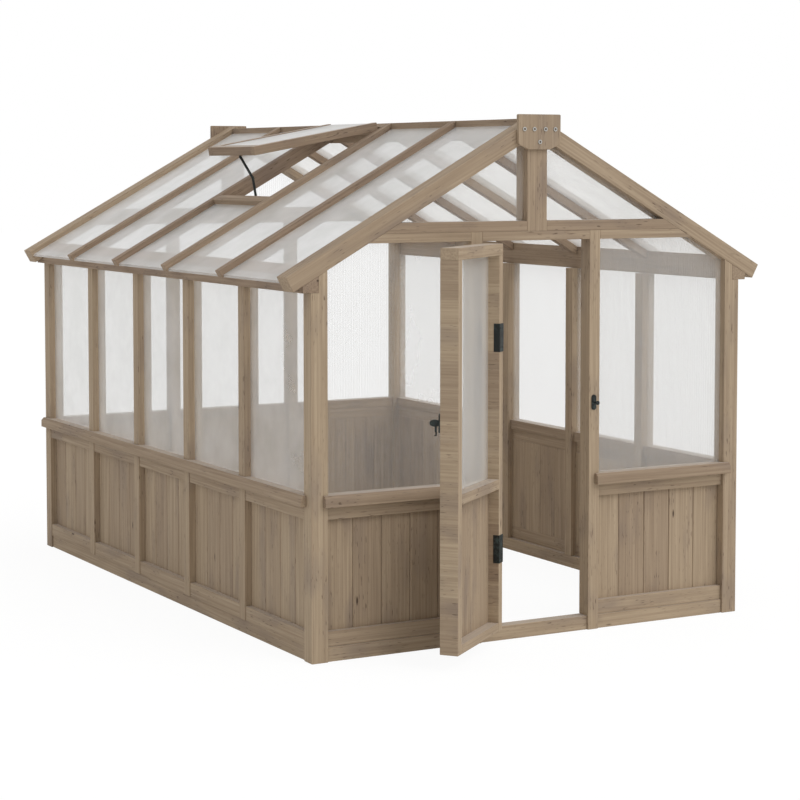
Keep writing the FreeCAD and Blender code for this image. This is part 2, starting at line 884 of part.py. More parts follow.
# Pieces of the door, drawn closed with the hinge axis at their own origin and then swung open
PIVOT_X = f"-{DOOR_SIDE} + door_hinge_gap / 2"
PIVOT_Y = f"{FRONT} - hinge_proud"
LEAF_START = "(door_hinge_gap / 2)"
LEAF_END = "(doorway_width - door_hinge_gap / 2 - door_latch_gap)"
FACE_OUT = "hinge_proud"
FACE_IN = "(hinge_proud + door_thick)"
DOOR_LOW = "(sill_height + door_sill_gap)"
DOOR_TOP = "(doorway_height - door_head_gap)"
DOOR_BOARD_LOW = "(sill_height + door_sill_gap + door_bottom_rail)"
DOOR_GLASS_LOW = "(door_mid_height + door_mid_rail)"
STILE_TOP = f"({DOOR_TOP} - door_top_rail)"
STILE_IN = f"({LEAF_START} + stile_width)"
STILE_OUT = f"({LEAF_END} - stile_width)"


def swing(item, z="0"):
    """Hang a piece on the door's hinge axis, swung out by the door's angle."""
    place(item, PIVOT_X, PIVOT_Y, z, number("door_angle"), (0, 0, -1))
    bind(item, "Placement.Rotation.Angle", "door_angle")
    return item


def door_bar(name, start, end, near, far, low, high):
    """A squared door member between two places along, through and up the leaf."""
    outline = [(start, near), (end, near), (end, far), (start, far)]
    return swing(upright(name, outline, f"{high} - {low}"), low)


def make_door():
    stiles = []
    for name, start, end in (("HingeStile", LEAF_START, STILE_IN), ("LatchStile", STILE_OUT, LEAF_END)):
        stiles.append(door_bar(name, start, end, FACE_OUT, FACE_IN, DOOR_LOW, STILE_TOP))
    group("door_stiles", stiles)
    drip = f"{FACE_OUT} - door_drip"
    rails = [
        door_bar("DoorTopRail", LEAF_START, LEAF_END, FACE_OUT, FACE_IN, STILE_TOP, DOOR_TOP),
        door_bar("DoorMidRail", STILE_IN, STILE_OUT, FACE_OUT, FACE_IN, "door_mid_height", DOOR_GLASS_LOW),
        door_bar("DoorBottomRail", STILE_IN, STILE_OUT, drip, FACE_IN, DOOR_LOW, DOOR_BOARD_LOW),
    ]
    group("door_rails", rails)
    near = f"({FACE_OUT} + door_pane_setback)"
    back = f"{near} + pane_thick"
    pane = door_bar("DoorSheet", STILE_IN, STILE_OUT, near, back, DOOR_GLASS_LOW, STILE_TOP)
    node("door_pane", pane)
    boards = []
    count = 4
    step = f"(({STILE_OUT} - {STILE_IN} + board_gap) / {count})"
    for i in range(count):
        start = f"({STILE_IN} + {i} * {step})"
        end = f"({start} + {step} - board_gap)"
        outline = [
            (start, f"{near} + board_thick"),
            (start, f"{near} + board_groove"),
            (f"{start} + board_groove", near),
            (f"{end} - board_groove", near),
            (end, f"{near} + board_groove"),
            (end, f"{near} + board_thick"),
        ]
        board = upright(f"DoorBoard{i}", outline, f"door_mid_height - {DOOR_BOARD_LOW}")
        boards.append(swing(board, DOOR_BOARD_LOW))
    group("door_boards", boards)


KNUCKLE = "((hinge_height - 2 * hinge_knuckle_gap) / 3)"


def make_door_hinges():
    """Butt hinges: outer knuckles on the jamb leaf, the middle one on the door leaf that wraps the stile."""
    half_play = "(door_hinge_gap / 2 - hinge_leaf)"
    outside = "(hinge_barrel + hinge_knuckle_gap)"
    far = f"({FACE_IN} + hinge_leaf)"
    wrap_end = f"({STILE_IN} + hinge_leaf)"
    jamb_leaves = []
    door_leaves = []
    pins = []
    for i, middle in enumerate(("hinge_low_middle", "hinge_high_middle")):
        low = f"({middle} - hinge_height / 2)"
        knuckles = [(low, "jamb"), (f"{low} + {KNUCKLE} + hinge_knuckle_gap", "door"),
                    (f"{low} + 2 * ({KNUCKLE} + hinge_knuckle_gap)", "jamb")]
        jamb = bar(f"JambPlate{i}", "hinge_leaf", f"jamb_leaf_reach - {outside}", "hinge_height")
        jamb_bits = [place(jamb, f"{PIVOT_X} - door_hinge_gap / 2", f"{PIVOT_Y} + {outside}", low)]
        wrap = [
            (half_play, outside),
            (LEAF_START, outside),
            (LEAF_START, FACE_IN),
            (STILE_IN, FACE_IN),
            (STILE_IN, f"{FACE_IN} - hinge_wrap"),
            (wrap_end, f"{FACE_IN} - hinge_wrap"),
            (wrap_end, far),
            (half_play, far),
        ]
        door_bits = [swing(upright(f"DoorPlate{i}", wrap, "hinge_height"), low)]
        for k, (z, owner) in enumerate(knuckles):
            ring = rod(f"Knuckle{i}{k}", "hinge_barrel", KNUCKLE, PIVOT_X, PIVOT_Y, z)
            if owner == "jamb":
                tab = bar(f"Tab{i}{k}", "hinge_leaf", outside, KNUCKLE)
                place(tab, f"{PIVOT_X} - door_hinge_gap / 2", PIVOT_Y, z)
                jamb_bits += [ring, tab]
            else:
                outline = [(half_play, "0"), (LEAF_START, "0"), (LEAF_START, outside), (half_play, outside)]
                door_bits += [ring, swing(upright(f"Tab{i}{k}", outline, KNUCKLE), z)]
        for part, bits, leaves in (("Jamb", jamb_bits, jamb_leaves), ("Door", door_bits, door_leaves)):
            bore = rod(f"{part}Bore{i}", "hinge_pin + hinge_play", "hinge_height", PIVOT_X, PIVOT_Y, low)
            leaves.append(cut(f"{part}Leaf{i}", fuse(f"{part}Bits{i}", bits), [bore]))
        pins.append(rod(f"HingePin{i}", "hinge_pin", "hinge_height", PIVOT_X, PIVOT_Y, low))
    group("jamb_hinge_leaves", jamb_leaves)
    group("door_hinge_leaves", door_leaves)
    group("door_hinge_pins", pins)


LATCH_U = f"({LEAF_END} - latch_inset)"
KEEPER_X = f"({PIVOT_X} + {LATCH_U} + latch_arm_reach)"


def turned(body, name, profile, offset):
    """A round piece spun about the line that the offset names, pointing out of the face."""
    sketch = sketch_on(body, "XY_Plane", name, offset)
    draw(sketch, profile)
    spin = body.newObject("PartDesign::Revolution", name + "Spin")
    spin.Profile = sketch
    spin.ReferenceAxis = (sketch, ["V_Axis"])
    spin.Angle = 360
    sketch.Visibility = False
    return spin


def rounded_plate(name, width, height, thick):
    """An upright oblong plate with round ends, its back at y = 0 and its face towards -Y."""
    body = doc.addObject("PartDesign::Body", name)
    sketch = sketch_on(body, "XZ_Plane", name + "Face")
    half = f"({width} / 2)"
    tall = f"({height} / 2)"
    draw(sketch, [(f"-{half}", f"-{tall}"), (half, f"-{tall}"), (half, tall), (f"-{half}", tall)])
    plate = pad(body, sketch, thick)
    doc.recompute()
    ends = body.newObject("PartDesign::Fillet", name + "Ends")
    ends.Base = (plate, straight_edges(plate.Shape, (0, 1, 0)))
    bind(ends, "Radius", f"{width} / 2 - {SLIVER}")
    body.Tip = ends
    return body


def make_latch():
    """Turn latch: a plate on the door, and a handle whose forked arm turns onto the keeper's neck."""
    plate = rounded_plate("LatchPlate", "latch_plate_width", "latch_plate_height", "latch_plate_thick")
    place(plate, LATCH_U, FACE_OUT, "latch_height")
    loose = "latch_spindle + latch_play"
    bore = rod("LatchBore", loose, "latch_plate_thick", LATCH_U, FACE_OUT, "latch_height", 90)
    node("latch_plate", swing(cut("LatchPlateBored", plate, [bore])))
    handle = doc.addObject("PartDesign::Body", "LatchHandle")
    back = "-latch_end_play"
    boss = "-(latch_plate_thick + latch_end_play)"
    waist = "-(latch_arm_stand + latch_arm_thick + latch_knob_edge)"
    profile = [
        ("0", back),
        ("latch_spindle", back),
        ("latch_spindle", boss),
        ("latch_boss", boss),
        ("latch_boss", "-(latch_arm_stand + latch_arm_thick)"),
        ("latch_spindle", waist),
        ("latch_knob_radius - latch_knob_edge", "-latch_knob_stand"),
        ("latch_knob_radius", "-(latch_knob_stand + latch_knob_edge)"),
        ("latch_knob_radius", "-(latch_knob_end - latch_knob_edge)"),
        ("latch_knob_radius - latch_knob_edge", "-latch_knob_end"),
        ("0", "-latch_knob_end"),
    ]
    turned(handle, "LatchKnob", profile, (LATCH_U, FACE_OUT, "latch_height"))
    neck = "(keeper_neck + keeper_clear)"
    rear = f"(-({neck} + latch_fork_web))"
    shank = f"({rear} + latch_arm_width)"
    lip = f"({neck} + latch_fork_lip)"
    tip = f"(latch_arm_reach + {neck} + latch_fork_web)"
    arm = [
        (rear, "0"),
        (rear, f"-{tip}"),
        (lip, f"-{tip}"),
        (lip, f"-(latch_arm_reach + {neck})"),
        (f"-{neck}", f"-(latch_arm_reach + {neck})"),
        (f"-{neck}", f"-(latch_arm_reach - {neck})"),
        (shank, f"-(latch_arm_reach - {neck})"),
        (shank, "0"),
    ]
    stand_off = f"latch_arm_stand - {FACE_OUT}"
    sketch = sketch_on(handle, "XZ_Plane", "LatchArm", (LATCH_U, "latch_height", stand_off))
    draw(sketch, arm)
    pad(handle, sketch, "latch_arm_thick")
    node("latch_handle", swing(handle))


def make_keeper():
    """Plate on the right door post with a headed stud that the latch's fork takes hold of."""
    plate = rounded_plate("KeeperBase", "latch_plate_width", "keeper_plate_height", "keeper_plate_thick")
    node("keeper_plate", place(plate, KEEPER_X, FRONT, "latch_height"))
    stud = doc.addObject("PartDesign::Body", "KeeperStud")
    profile = [
        ("0", "-keeper_plate_thick"),
        ("keeper_neck", "-keeper_plate_thick"),
        ("keeper_neck", "-keeper_head_stand"),
        ("keeper_head", "-(keeper_head_stand + keeper_edge)"),
        ("keeper_head", "-(keeper_end - keeper_edge)"),
        ("keeper_head - keeper_edge", "-keeper_end"),
        ("0", "-keeper_end"),
    ]
    turned(stud, "KeeperTurn", profile, ("0", "0", "0"))
    node("keeper_stud", place(stud, KEEPER_X, FRONT, "latch_height"))


def slope_box(start, end, low, high):
    """Outline of a squared piece that is fixed in the slope."""
    return [slope_point(*corner) for corner in ((start, low), (end, low), (end, high), (start, high))]


def sash_box(start, end, low, high):
    """Outline of a squared piece that is carried by the open sash."""
    return [sash_point(*corner) for corner in ((start, low), (end, low), (end, high), (start, high))]


VENT_LOW_Y, VENT_HIGH_Y = roof_bays()[VENT_BAY]
SASH_LOW_Y = f"({VENT_LOW_Y} + vent_side_gap)"
SASH_HIGH_Y = f"({VENT_HIGH_Y} - vent_side_gap)"
SASH_RAIL_UP = "(vent_axis_gap + vent_rail)"
SASH_RAIL_LOW = f"({VENT_LOW_END} - vent_rail)"
SASH_SHEET_TOP = "(vent_proud - vent_pane_recess)"
SASH_SHEET_LOW = "(vent_proud - vent_pane_recess - pane_thick)"


def make_vent_trimmers():
    """Upper trimmer behind the hinges, lower one under the sash's edge, and the two blocks it shuts on."""
    clear = f"{VENT_HIGH_Y} - {VENT_LOW_Y}"
    inner = "-(ridge_width / 2)"
    head = [
        (inner, roof_top("ridge_width / 2")),
        slope_point("-vent_axis_gap", "0"),
        slope_point("-vent_axis_gap", "-vent_thick"),
        (inner, roof_below("ridge_width / 2", "vent_thick")),
    ]
    foot = slope_box(TRIMMER_START, TRIMMER_END, "-rafter_depth", "0")
    stop_start = f"{TRIMMER_START} - vent_stop_width"
    stop_top = f"({SASH_BOTTOM} - vent_stop_gap)"
    stop = slope_box(stop_start, TRIMMER_START, f"{stop_top} - vent_stop_height", stop_top)
    group("vent_trimmers", [
        slab("UpperTrimmer", head, VENT_LOW_Y, clear),
        slab("LowerTrimmer", foot, VENT_LOW_Y, clear),
        slab("VentStopNear", stop, VENT_LOW_Y, "vent_stop_length"),
        slab("VentStopFar", stop, f"{VENT_HIGH_Y} - vent_stop_length", "vent_stop_length"),
    ])


def make_vent_sash():
    """Sash that stands proud of the rafters. Its sheet lies over the head rail and behind the foot rail."""
    between = f"{SASH_LOW_Y} + vent_stile"
    inside = f"{SASH_HIGH_Y} - {SASH_LOW_Y} - 2 * vent_stile"
    stile = sash_box("vent_axis_gap", VENT_LOW_END, SASH_BOTTOM, "vent_proud")
    head = sash_box("vent_axis_gap", SASH_RAIL_UP, SASH_BOTTOM, SASH_SHEET_LOW)
    foot = sash_box(SASH_RAIL_LOW, VENT_LOW_END, SASH_BOTTOM, "vent_proud")
    group("vent_sash_frame", [
        slab("SashStileNear", stile, SASH_LOW_Y, "vent_stile"),
        slab("SashStileFar", stile, f"{SASH_HIGH_Y} - vent_stile", "vent_stile"),
        slab("SashHeadRail", head, between, inside),
        slab("SashFootRail", foot, between, inside),
    ])
    pane = sash_box("vent_axis_gap", SASH_RAIL_LOW, SASH_SHEET_LOW, SASH_SHEET_TOP)
    node("vent_pane", slab("SashSheet", pane, between, inside))


VENT_KNUCKLE = "((vent_leaf_length - 2 * hinge_knuckle_gap) / 3)"


def make_vent_hinges():
    """Two hinges: one leaf flat on the upper trimmer, the other on the end of the sash's head rail."""
    clear = "(vent_barrel + hinge_knuckle_gap)"
    over = f"(vent_axis_rise + {clear})"
    under = f"(vent_axis_rise - {clear})"
    inner = "(vent_axis_gap - vent_leaf)"
    flat = slope_box("-vent_leaf_reach", f"-{clear}", "0", "vent_leaf")
    flat_tab = slope_box(f"-{clear}", "0", "0", "vent_leaf")
    upper = sash_box(inner, "vent_axis_gap", over, f"{SASH_SHEET_LOW} - vent_leaf_edge")
    lower = sash_box(inner, "vent_axis_gap", f"{SASH_BOTTOM} + vent_leaf_edge", under)
    end_tab = sash_box(inner, "vent_axis_gap", under, over)
    fixed = []
    moving = []
    x, z = VENT_AXIS
    far = f"({SASH_HIGH_Y} - vent_hinge_inset - vent_leaf_length)"
    for i, y in enumerate((f"({SASH_LOW_Y} + vent_hinge_inset)", far)):
        fixed_bits = [slab(f"RidgeLeaf{i}", flat, y, "vent_leaf_length")]
        moving_bits = [
            slab(f"SashLeafOver{i}", upper, y, "vent_leaf_length"),
            slab(f"SashLeafUnder{i}", lower, y, "vent_leaf_length"),
        ]
        for k in range(3):
            start = f"{y} + {k} * ({VENT_KNUCKLE} + hinge_knuckle_gap)"
            ring = rod(f"VentRing{i}{k}", "vent_barrel", VENT_KNUCKLE, x, start, z, -90)
            if k == 1:
                moving_bits += [ring, slab(f"SashTab{i}", end_tab, start, VENT_KNUCKLE)]
            else:
                fixed_bits += [ring, slab(f"RidgeTab{i}{k}", flat_tab, start, VENT_KNUCKLE)]
        bore = rod(f"VentBore{i}", "vent_pin + hinge_play", "vent_leaf_length", x, y, z, -90)
        pin = rod(f"VentPin{i}", "vent_pin", "vent_leaf_length", x, y, z, -90)
        fixed.append(cut(f"RidgeHinge{i}", fuse(f"RidgeBits{i}", fixed_bits), [bore]))
        moving.append(fuse(f"SashHinge{i}", moving_bits + [pin]))
    group("ridge_hinge_leaves", fixed)
    group("sash_hinge_leaves", moving)


STAY_FOOT = (f"({TRIMMER_START} - stay_foot_clear)", "-stay_foot_depth")
STAY_HEAD = (f"({VENT_LOW_END} - stay_head_clear)", f"({SASH_BOTTOM} - stay_head_drop)")
FOOT_X, FOOT_Z = slope_point(*STAY_FOOT)
HEAD_X, HEAD_Z = sash_point(*STAY_HEAD)
REACH_X = f"({HEAD_X} - ({FOOT_X}))"
REACH_Z = f"({HEAD_Z} - ({FOOT_Z}))"
REACH = f"sqrt({REACH_X} ^ 2 + {REACH_Z} ^ 2)"
REACH_TURN = f"atan2({REACH_Z}; {REACH_X})"
STAY_LOWER = f"(stay_lower_share * {REACH})"
STAY_UPPER = f"(stay_upper_share * {REACH})"
LOWER_Y = f"({VENT_LOW_Y} + stay_inset)"
UPPER_Y = f"({LOWER_Y} + stay_arm_thick + stay_gap)"


def corner_angle(near, far):
    """Angle between the stay's reach and the arm called near, by the law of cosines."""
    return f"acos(({near} ^ 2 + {REACH} ^ 2 - {far} ^ 2) / (2 * {near} * {REACH}))"


def draw_circle(sketch, x, y, radius):
    centre = FreeCAD.Vector(number(x), number(y), 0)
    sketch.addGeometry(Part.Circle(centre, FreeCAD.Vector(0, 0, 1), number(radius)), False)
    for kind, text in (("DistanceX", x), ("DistanceY", y)):
        index = sketch.addConstraint(Sketcher.Constraint(kind, -1, 1, 0, 3, number(text)))
        bind(sketch, f"Constraints[{index}]", text)
    index = sketch.addConstraint(Sketcher.Constraint("Radius", 0, number(radius)))
    bind(sketch, f"Constraints[{index}]", radius)


def stay_arm(name, knee, outer_side):
    """A flat bar with round ends, bored at its own origin, with the knee's rivet head on one side."""
    body = doc.addObject("PartDesign::Body", name)
    half = "(stay_arm_width / 2)"
    near, far = (f"-{half}", f"{knee} + {half}")
    if knee.startswith("-"):
        near, far = (f"{knee} - {half}", half)
    sketch = sketch_on(body, "XZ_Plane", name + "Bar")
    draw(sketch, [(near, f"-{half}"), (far, f"-{half}"), (far, half), (near, half)])
    bar_pad = pad(body, sketch, "stay_arm_thick", backwards=True)
    doc.recompute()
    ends = body.newObject("PartDesign::Fillet", name + "Ends")
    ends.Base = (bar_pad, straight_edges(bar_pad.Shape, (0, 1, 0)))
    bind(ends, "Radius", f"{half} - {SLIVER}")
    face = "-stay_arm_thick" if outer_side > 0 else "0"
    rivet = sketch_on(body, "XZ_Plane", name + "Rivet", ("0", "0", face))
    draw_circle(rivet, knee, "0", "stay_rivet")
    pad(body, rivet, "stay_rivet_height", backwards=outer_side > 0)
    bore = sketch_on(body, "XZ_Plane", name + "Bore")
    draw_circle(bore, "0", "0", "stay_pin + hinge_play")
    hole = body.newObject("PartDesign::Pocket", name + "Hole")
    hole.Profile = bore
    hole.Type = "ThroughAll"
    hole.Midplane = True
    bore.Visibility = False
    return body


def lean(body, x, y, z, angle):
    """Place an arm's bore and lean the arm up from +X towards +Z."""
    place(body, x, y, z, number(angle), (0, -1, 0))
    bind(body, "Placement.Rotation.Angle", angle)
    return body


def stay_lug(label, web_outline, pivot, lug_y, pin_y):
    """A lug that stands off a timber's face and carries an arm's pin."""
    x, z = pivot
    web = slab(label + "Web", web_outline, lug_y, "stay_arm_thick")
    eye = rod(label + "Eye", "stay_arm_width / 2", "stay_arm_thick", x, lug_y, z, -90)
    pin = rod(label + "Pin", "stay_pin", "2 * stay_arm_thick + stay_gap", x, pin_y, z, -90)
    node(label, fuse(label, [web, eye, pin]))


def make_stay():
    """Folding stay: a lower arm on the trimmer and an upper arm under the sash, meeting at a knee."""
    lower = stay_arm("StayLower", STAY_LOWER, -1)
    lean(lower, FOOT_X, LOWER_Y, FOOT_Z, f"{REACH_TURN} - {corner_angle(STAY_LOWER, STAY_UPPER)}")
    node("stay_lower_arm", lower)
    upper = stay_arm("StayUpper", f"-{STAY_UPPER}", 1)
    lean(upper, HEAD_X, UPPER_Y, HEAD_Z, f"{REACH_TURN} + {corner_angle(STAY_UPPER, STAY_LOWER)}")
    node("stay_upper_arm", upper)
    below = f"{LOWER_Y} - stay_arm_thick - stay_gap"
    above = f"{UPPER_Y} + stay_arm_thick + stay_gap"
    half = "stay_arm_width / 2"
    run, rise = STAY_FOOT
    foot_web = slope_box(run, TRIMMER_START, f"{rise} - {half}", f"{rise} + {half}")
    stay_lug("stay_foot_bracket", foot_web, (FOOT_X, FOOT_Z), below, below)
    run, rise = STAY_HEAD
    head_web = sash_box(f"{run} - {half}", f"{run} + {half}", rise, SASH_BOTTOM)
    stay_lug("stay_head_bracket", head_web, (HEAD_X, HEAD_Z), above, UPPER_Y)


make_sills()
make_corner_posts()
make_side_posts()
make_gable_posts()
make_wall_plates()
make_ties()
make_head_rails()
make_king_posts()
make_rafters()
make_ridge()
make_roof_panes()
for wall_name in WALLS:
    make_dado(wall_name)
make_caps()
make_wall_panes()
make_gable_panes()
make_gussets()
make_door()
make_door_hinges()
make_latch()
make_keeper()
make_vent_trimmers()
make_vent_sash()
make_vent_hinges()
make_stay()

doc.recompute()
for item in doc.Objects:
    if "Invalid" in item.State or "Error" in item.State:
        raise RuntimeError(f"{item.Label} failed: {item.State}")
for item in nodes:
    if item.Shape.isNull() or not item.Shape.isValid():
        raise RuntimeError(f"{item.Label} has no valid shape")
os.makedirs("parts", exist_ok=True)
for item in nodes:
    item.Shape.exportStep(f"parts/{item.Label}.step")
print(len(nodes), "sub-parts,", sum(len(item.Shape.Solids) for item in nodes), "solids")
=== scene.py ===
import json
import math

import bmesh
import bpy
import numpy as np
from bpy.props import FloatProperty, FloatVectorProperty, PointerProperty, StringProperty
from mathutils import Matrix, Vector


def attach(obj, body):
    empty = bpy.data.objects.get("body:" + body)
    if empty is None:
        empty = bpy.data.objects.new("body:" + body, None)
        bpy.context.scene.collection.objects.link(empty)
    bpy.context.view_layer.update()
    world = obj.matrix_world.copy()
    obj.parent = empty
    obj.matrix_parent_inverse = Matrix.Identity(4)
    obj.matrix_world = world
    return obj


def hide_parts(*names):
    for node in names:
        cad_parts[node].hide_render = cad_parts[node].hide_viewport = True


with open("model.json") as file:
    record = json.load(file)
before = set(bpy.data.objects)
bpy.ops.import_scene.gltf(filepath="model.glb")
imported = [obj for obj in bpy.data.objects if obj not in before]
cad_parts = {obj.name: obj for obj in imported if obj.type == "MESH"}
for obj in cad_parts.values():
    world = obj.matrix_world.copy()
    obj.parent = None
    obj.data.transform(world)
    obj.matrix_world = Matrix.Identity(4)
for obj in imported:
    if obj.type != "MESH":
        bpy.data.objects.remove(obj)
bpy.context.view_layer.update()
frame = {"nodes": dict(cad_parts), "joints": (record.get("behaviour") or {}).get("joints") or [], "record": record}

bl_info = {
    "name": "Wooden greenhouse",
    "version": (1, 0, 0),
    "blender": (4, 5, 0),
    "location": "3D View > Sidebar > Greenhouse",
    "description": "Dresses the greenhouse frame in weathered timber, twin-wall sheet and black iron",
    "category": "Object",
}

MM = 0.001

POSTS = (
    "front_corner_posts", "rear_corner_posts", "left_side_posts", "right_side_posts", "door_posts",
    "rear_studs",
)
TIES = ("front_tie_beam", "rear_tie_beam")
GABLE_TIMBERS = ("head_rails", "front_rakes", "rear_rakes")
UPRIGHT = ("king_posts", "gusset_plates")
SILLS = ("front_sill", "rear_sill", "side_sills")
ROOF_TIMBERS = ("wall_plates", "ridge_board", "left_rafters", "right_rafters", "vent_trimmers")
WALLS = ("front", "left", "right", "rear")
DADO_RAILS = tuple(f"{wall}_dado_rails" for wall in WALLS)
DADO_BOARDS = tuple(f"{wall}_dado_boards" for wall in WALLS)
DADO_CAPS = ("front_dado_caps", "left_dado_cap", "right_dado_cap", "rear_dado_caps")
IRON_NODES = (
    "jamb_hinge_leaves", "keeper_plate", "keeper_stud", "ridge_hinge_leaves", "stay_foot_bracket",
    "door_hinge_leaves", "door_hinge_pins", "latch_plate", "sash_hinge_leaves", "stay_head_bracket",
    "stay_lower_arm", "stay_upper_arm",
)

BODY_OF = {name: body for body, names in frame["record"]["behaviour"]["bodies"].items() for name in names}
SLOT_OF = {row["node"]: row["material_slot"] for row in frame["record"]["subparts"]}
JOINT_OF = {row["name"]: row for row in frame["joints"]}

# The open door's own axes: across the leaf from the hinge, and in through it
DOOR_TURN = -math.radians(JOINT_OF["door_hinge"]["range_deg"][0])
DOOR_ORIGIN = np.array(JOINT_OF["door_hinge"]["pos_m"]) * (1, 1, 0)
DOOR_ACROSS = np.array((math.cos(DOOR_TURN), -math.sin(DOOR_TURN), 0.0))
DOOR_INWARD = np.array((math.sin(DOOR_TURN), math.cos(DOOR_TURN), 0.0))
UP = np.array((0.0, 0.0, 1.0))
SIDEWAYS = np.array((1.0, 0.0, 0.0))


class TimberSettings(bpy.types.PropertyGroup):
    """Weathered softwood: planed, left out in the sun, dry and matt."""
    pale: StringProperty(name="Pale wood", description="sRGB colour of the spring growth", default="#B8A48A")
    brown: StringProperty(name="Brown wood", description="sRGB colour of the summer growth",
                          default="#9D8972")
    stain: StringProperty(name="Stain", description="sRGB colour of the grey rain stains", default="#8D7D6F")
    # Painted top light: the pale grey that level faces are mixed towards, for the light that falls on them from
    # above
    painted_top_light: StringProperty(name="Painted top light", description="sRGB colour of wood that lies flat under the sun",
                           default="#D8CFC6")
    crack: StringProperty(name="Crack", description="sRGB colour of short checks", default="#5F4C3C")
    knot: StringProperty(name="Knot", description="sRGB colour of pin knots", default="#4C3B2E")
    shade: StringProperty(name="Darkest timber", description="sRGB tint of the darkest timber",
                          default="#CDC6C8")
    ease: FloatProperty(name="Eased edge", description="Rounding of a planed edge",
                        default=2.5 * MM, unit="LENGTH")
    board_ease: FloatProperty(name="Board edge", description="Rounding of a thin board's edge",
                              default=0.8 * MM, unit="LENGTH")
    fibre: FloatProperty(name="Fibre", description="Width of a drawn fibre", default=9 * MM, unit="LENGTH")
    block: FloatProperty(name="Glued block", description="Height of a block in a laminated edge",
                         default=270 * MM, unit="LENGTH")


class SheetSettings(bpy.types.PropertyGroup):
    """Twin-wall polycarbonate: two clear skins with webs between them."""
    haze: StringProperty(name="Haze", description="sRGB colour of the skins' haze", default="#F1F2F0")
    rib: StringProperty(name="Web", description="sRGB colour of the webs", default="#FFFFFF")
    # Painted shade: the dark colour laid between the webs on a sawn end, for the shade inside the open flutes
    cell: StringProperty(name="Painted cell shade", description="sRGB colour inside a flute's sawn end", default="#4C4A46")
    flute: FloatProperty(name="Flute", description="Spacing of the drawn webs",
                         default=14 * MM, unit="LENGTH")
    clear: FloatProperty(name="Clear share", description="Share of light that is held back between webs",
                         default=0.065, min=0, max=1, subtype="FACTOR")
    web: FloatProperty(name="Web share", description="Share that is held back over a web",
                       default=0.15, min=0, max=1, subtype="FACTOR")
    cloud: FloatProperty(name="Cloud", description="Size of the clouds in the film of dust",
                         default=220 * MM, unit="LENGTH")
    film: FloatProperty(name="Film share", description="Share that the film adds or takes on a plain sheet",
                        default=0.012, min=0, max=1, subtype="FACTOR")
    slant: FloatProperty(name="Slant share", description="Share added where a sheet is seen along its face",
                         default=0.6, min=0, max=1, subtype="FACTOR")
    closed: FloatProperty(name="Sawn share", description="Share that is held back by a sawn end",
                          default=0.8, min=0, max=1, subtype="FACTOR")
    dust: FloatProperty(name="Dust share", description="Share added by dust on a dulled sheet",
                        default=0.1, min=0, max=1, subtype="FACTOR")


class IronSettings(bpy.types.PropertyGroup):
    """Cast and pressed iron under black paint, gone greenish in the weather."""
    dark: StringProperty(name="Paint", description="sRGB colour of the paint", default="#191C1B")
    bloom: StringProperty(name="Bloom", description="sRGB colour of the weathered bloom", default="#3A4644")
    zinc: StringProperty(name="Zinc", description="sRGB colour of the plated bolts", default="#BDBCB8")
    spangle: StringProperty(name="Spangle", description="sRGB colour of dark zinc crystals",
                            default="#8E8D89")
    # Painted shade: a dirt-brown dark laid in the bolt sockets, for the shade in the recess, with paler grains in
    # it
    socket_shade: StringProperty(name="Socket shade", description="sRGB colour of dirt in the bolt sockets",
                          default="#75695E")
    socket_shade_grain: StringProperty(name="Socket shade grain", description="sRGB colour of pale grains in that dirt",
                         default="#8F8377")


class StageSettings(bpy.types.PropertyGroup):
    """White studio, and the camera at the photograph's angle."""
    eye: FloatVectorProperty(name="Eye", description="Camera place", default=(-5.511, -8.6146, 2.2604),
                             unit="LENGTH")
    yaw: FloatProperty(name="Yaw", description="Turn from +Y towards +X", default=math.radians(29.08),
                       unit="ROTATION")
    pitch: FloatProperty(name="Pitch", description="Tilt above the horizon", default=math.radians(-3.617),
                         unit="ROTATION")
    focal: FloatProperty(name="Focal length", description="In pixels of the 800 pixel frame", default=2145.1)
    shift: FloatProperty(name="Vertical shift", description="Share of the frame", default=-0.125)
    sky: FloatProperty(name="Sky", description="Level of the light from all round", default=0.66)
    sun: FloatProperty(name="Key", description="Level of the soft key light", default=1.15)
    floor: StringProperty(name="Floor", description="sRGB colour of the floor", default="#F4F4F2")


def linear(code):
    """sRGB hex to linear red, green, blue and full alpha."""
    parts = np.array([int(code[i:i + 2], 16) / 255 for i in (1, 3, 5)])
    flat = np.where(parts <= 0.04045, parts / 12.92, ((parts + 0.055) / 1.055) ** 2.4)
    return (*flat.tolist(), 1.0)


def add(tree, kind, settings=(), links=()):
    """Add a node. Settings are its properties or its sockets' values, links lead from sockets to its own."""
    item = tree.nodes.new(kind)
    for name, value in dict(settings).items():
        if isinstance(name, str) and hasattr(item, name):
            setattr(item, name, value)
        else:
            item.inputs[name].default_value = value
    for name, source in dict(links).items():
        tree.links.new(source, item.inputs[name])
    return item


def new_material(name):
    """An empty node material and its tree."""
    material = bpy.data.materials.new(name)
    material.use_nodes = True
    material.node_tree.nodes.clear()
    return material, material.node_tree


# Length along the grain and width across it, in metres, of what is drawn on timber
FIBRE_LENGTH = 0.5
GROWTH_SIZE = (1.6, 0.05)
RAIN_SIZE = (0.35, 0.12)
SLIT_SIZE = (0.04, 0.005)
KNOT_SPACING = (0.35, 0.09)
RING_TURNS = 40.0
BLOCK_SLIDE = 0.37


def drawn_out(length, width):
    """Scale of a pattern that is so long along the grain and so wide across it."""
    return (1 / length, 1 / width, 1 / width)


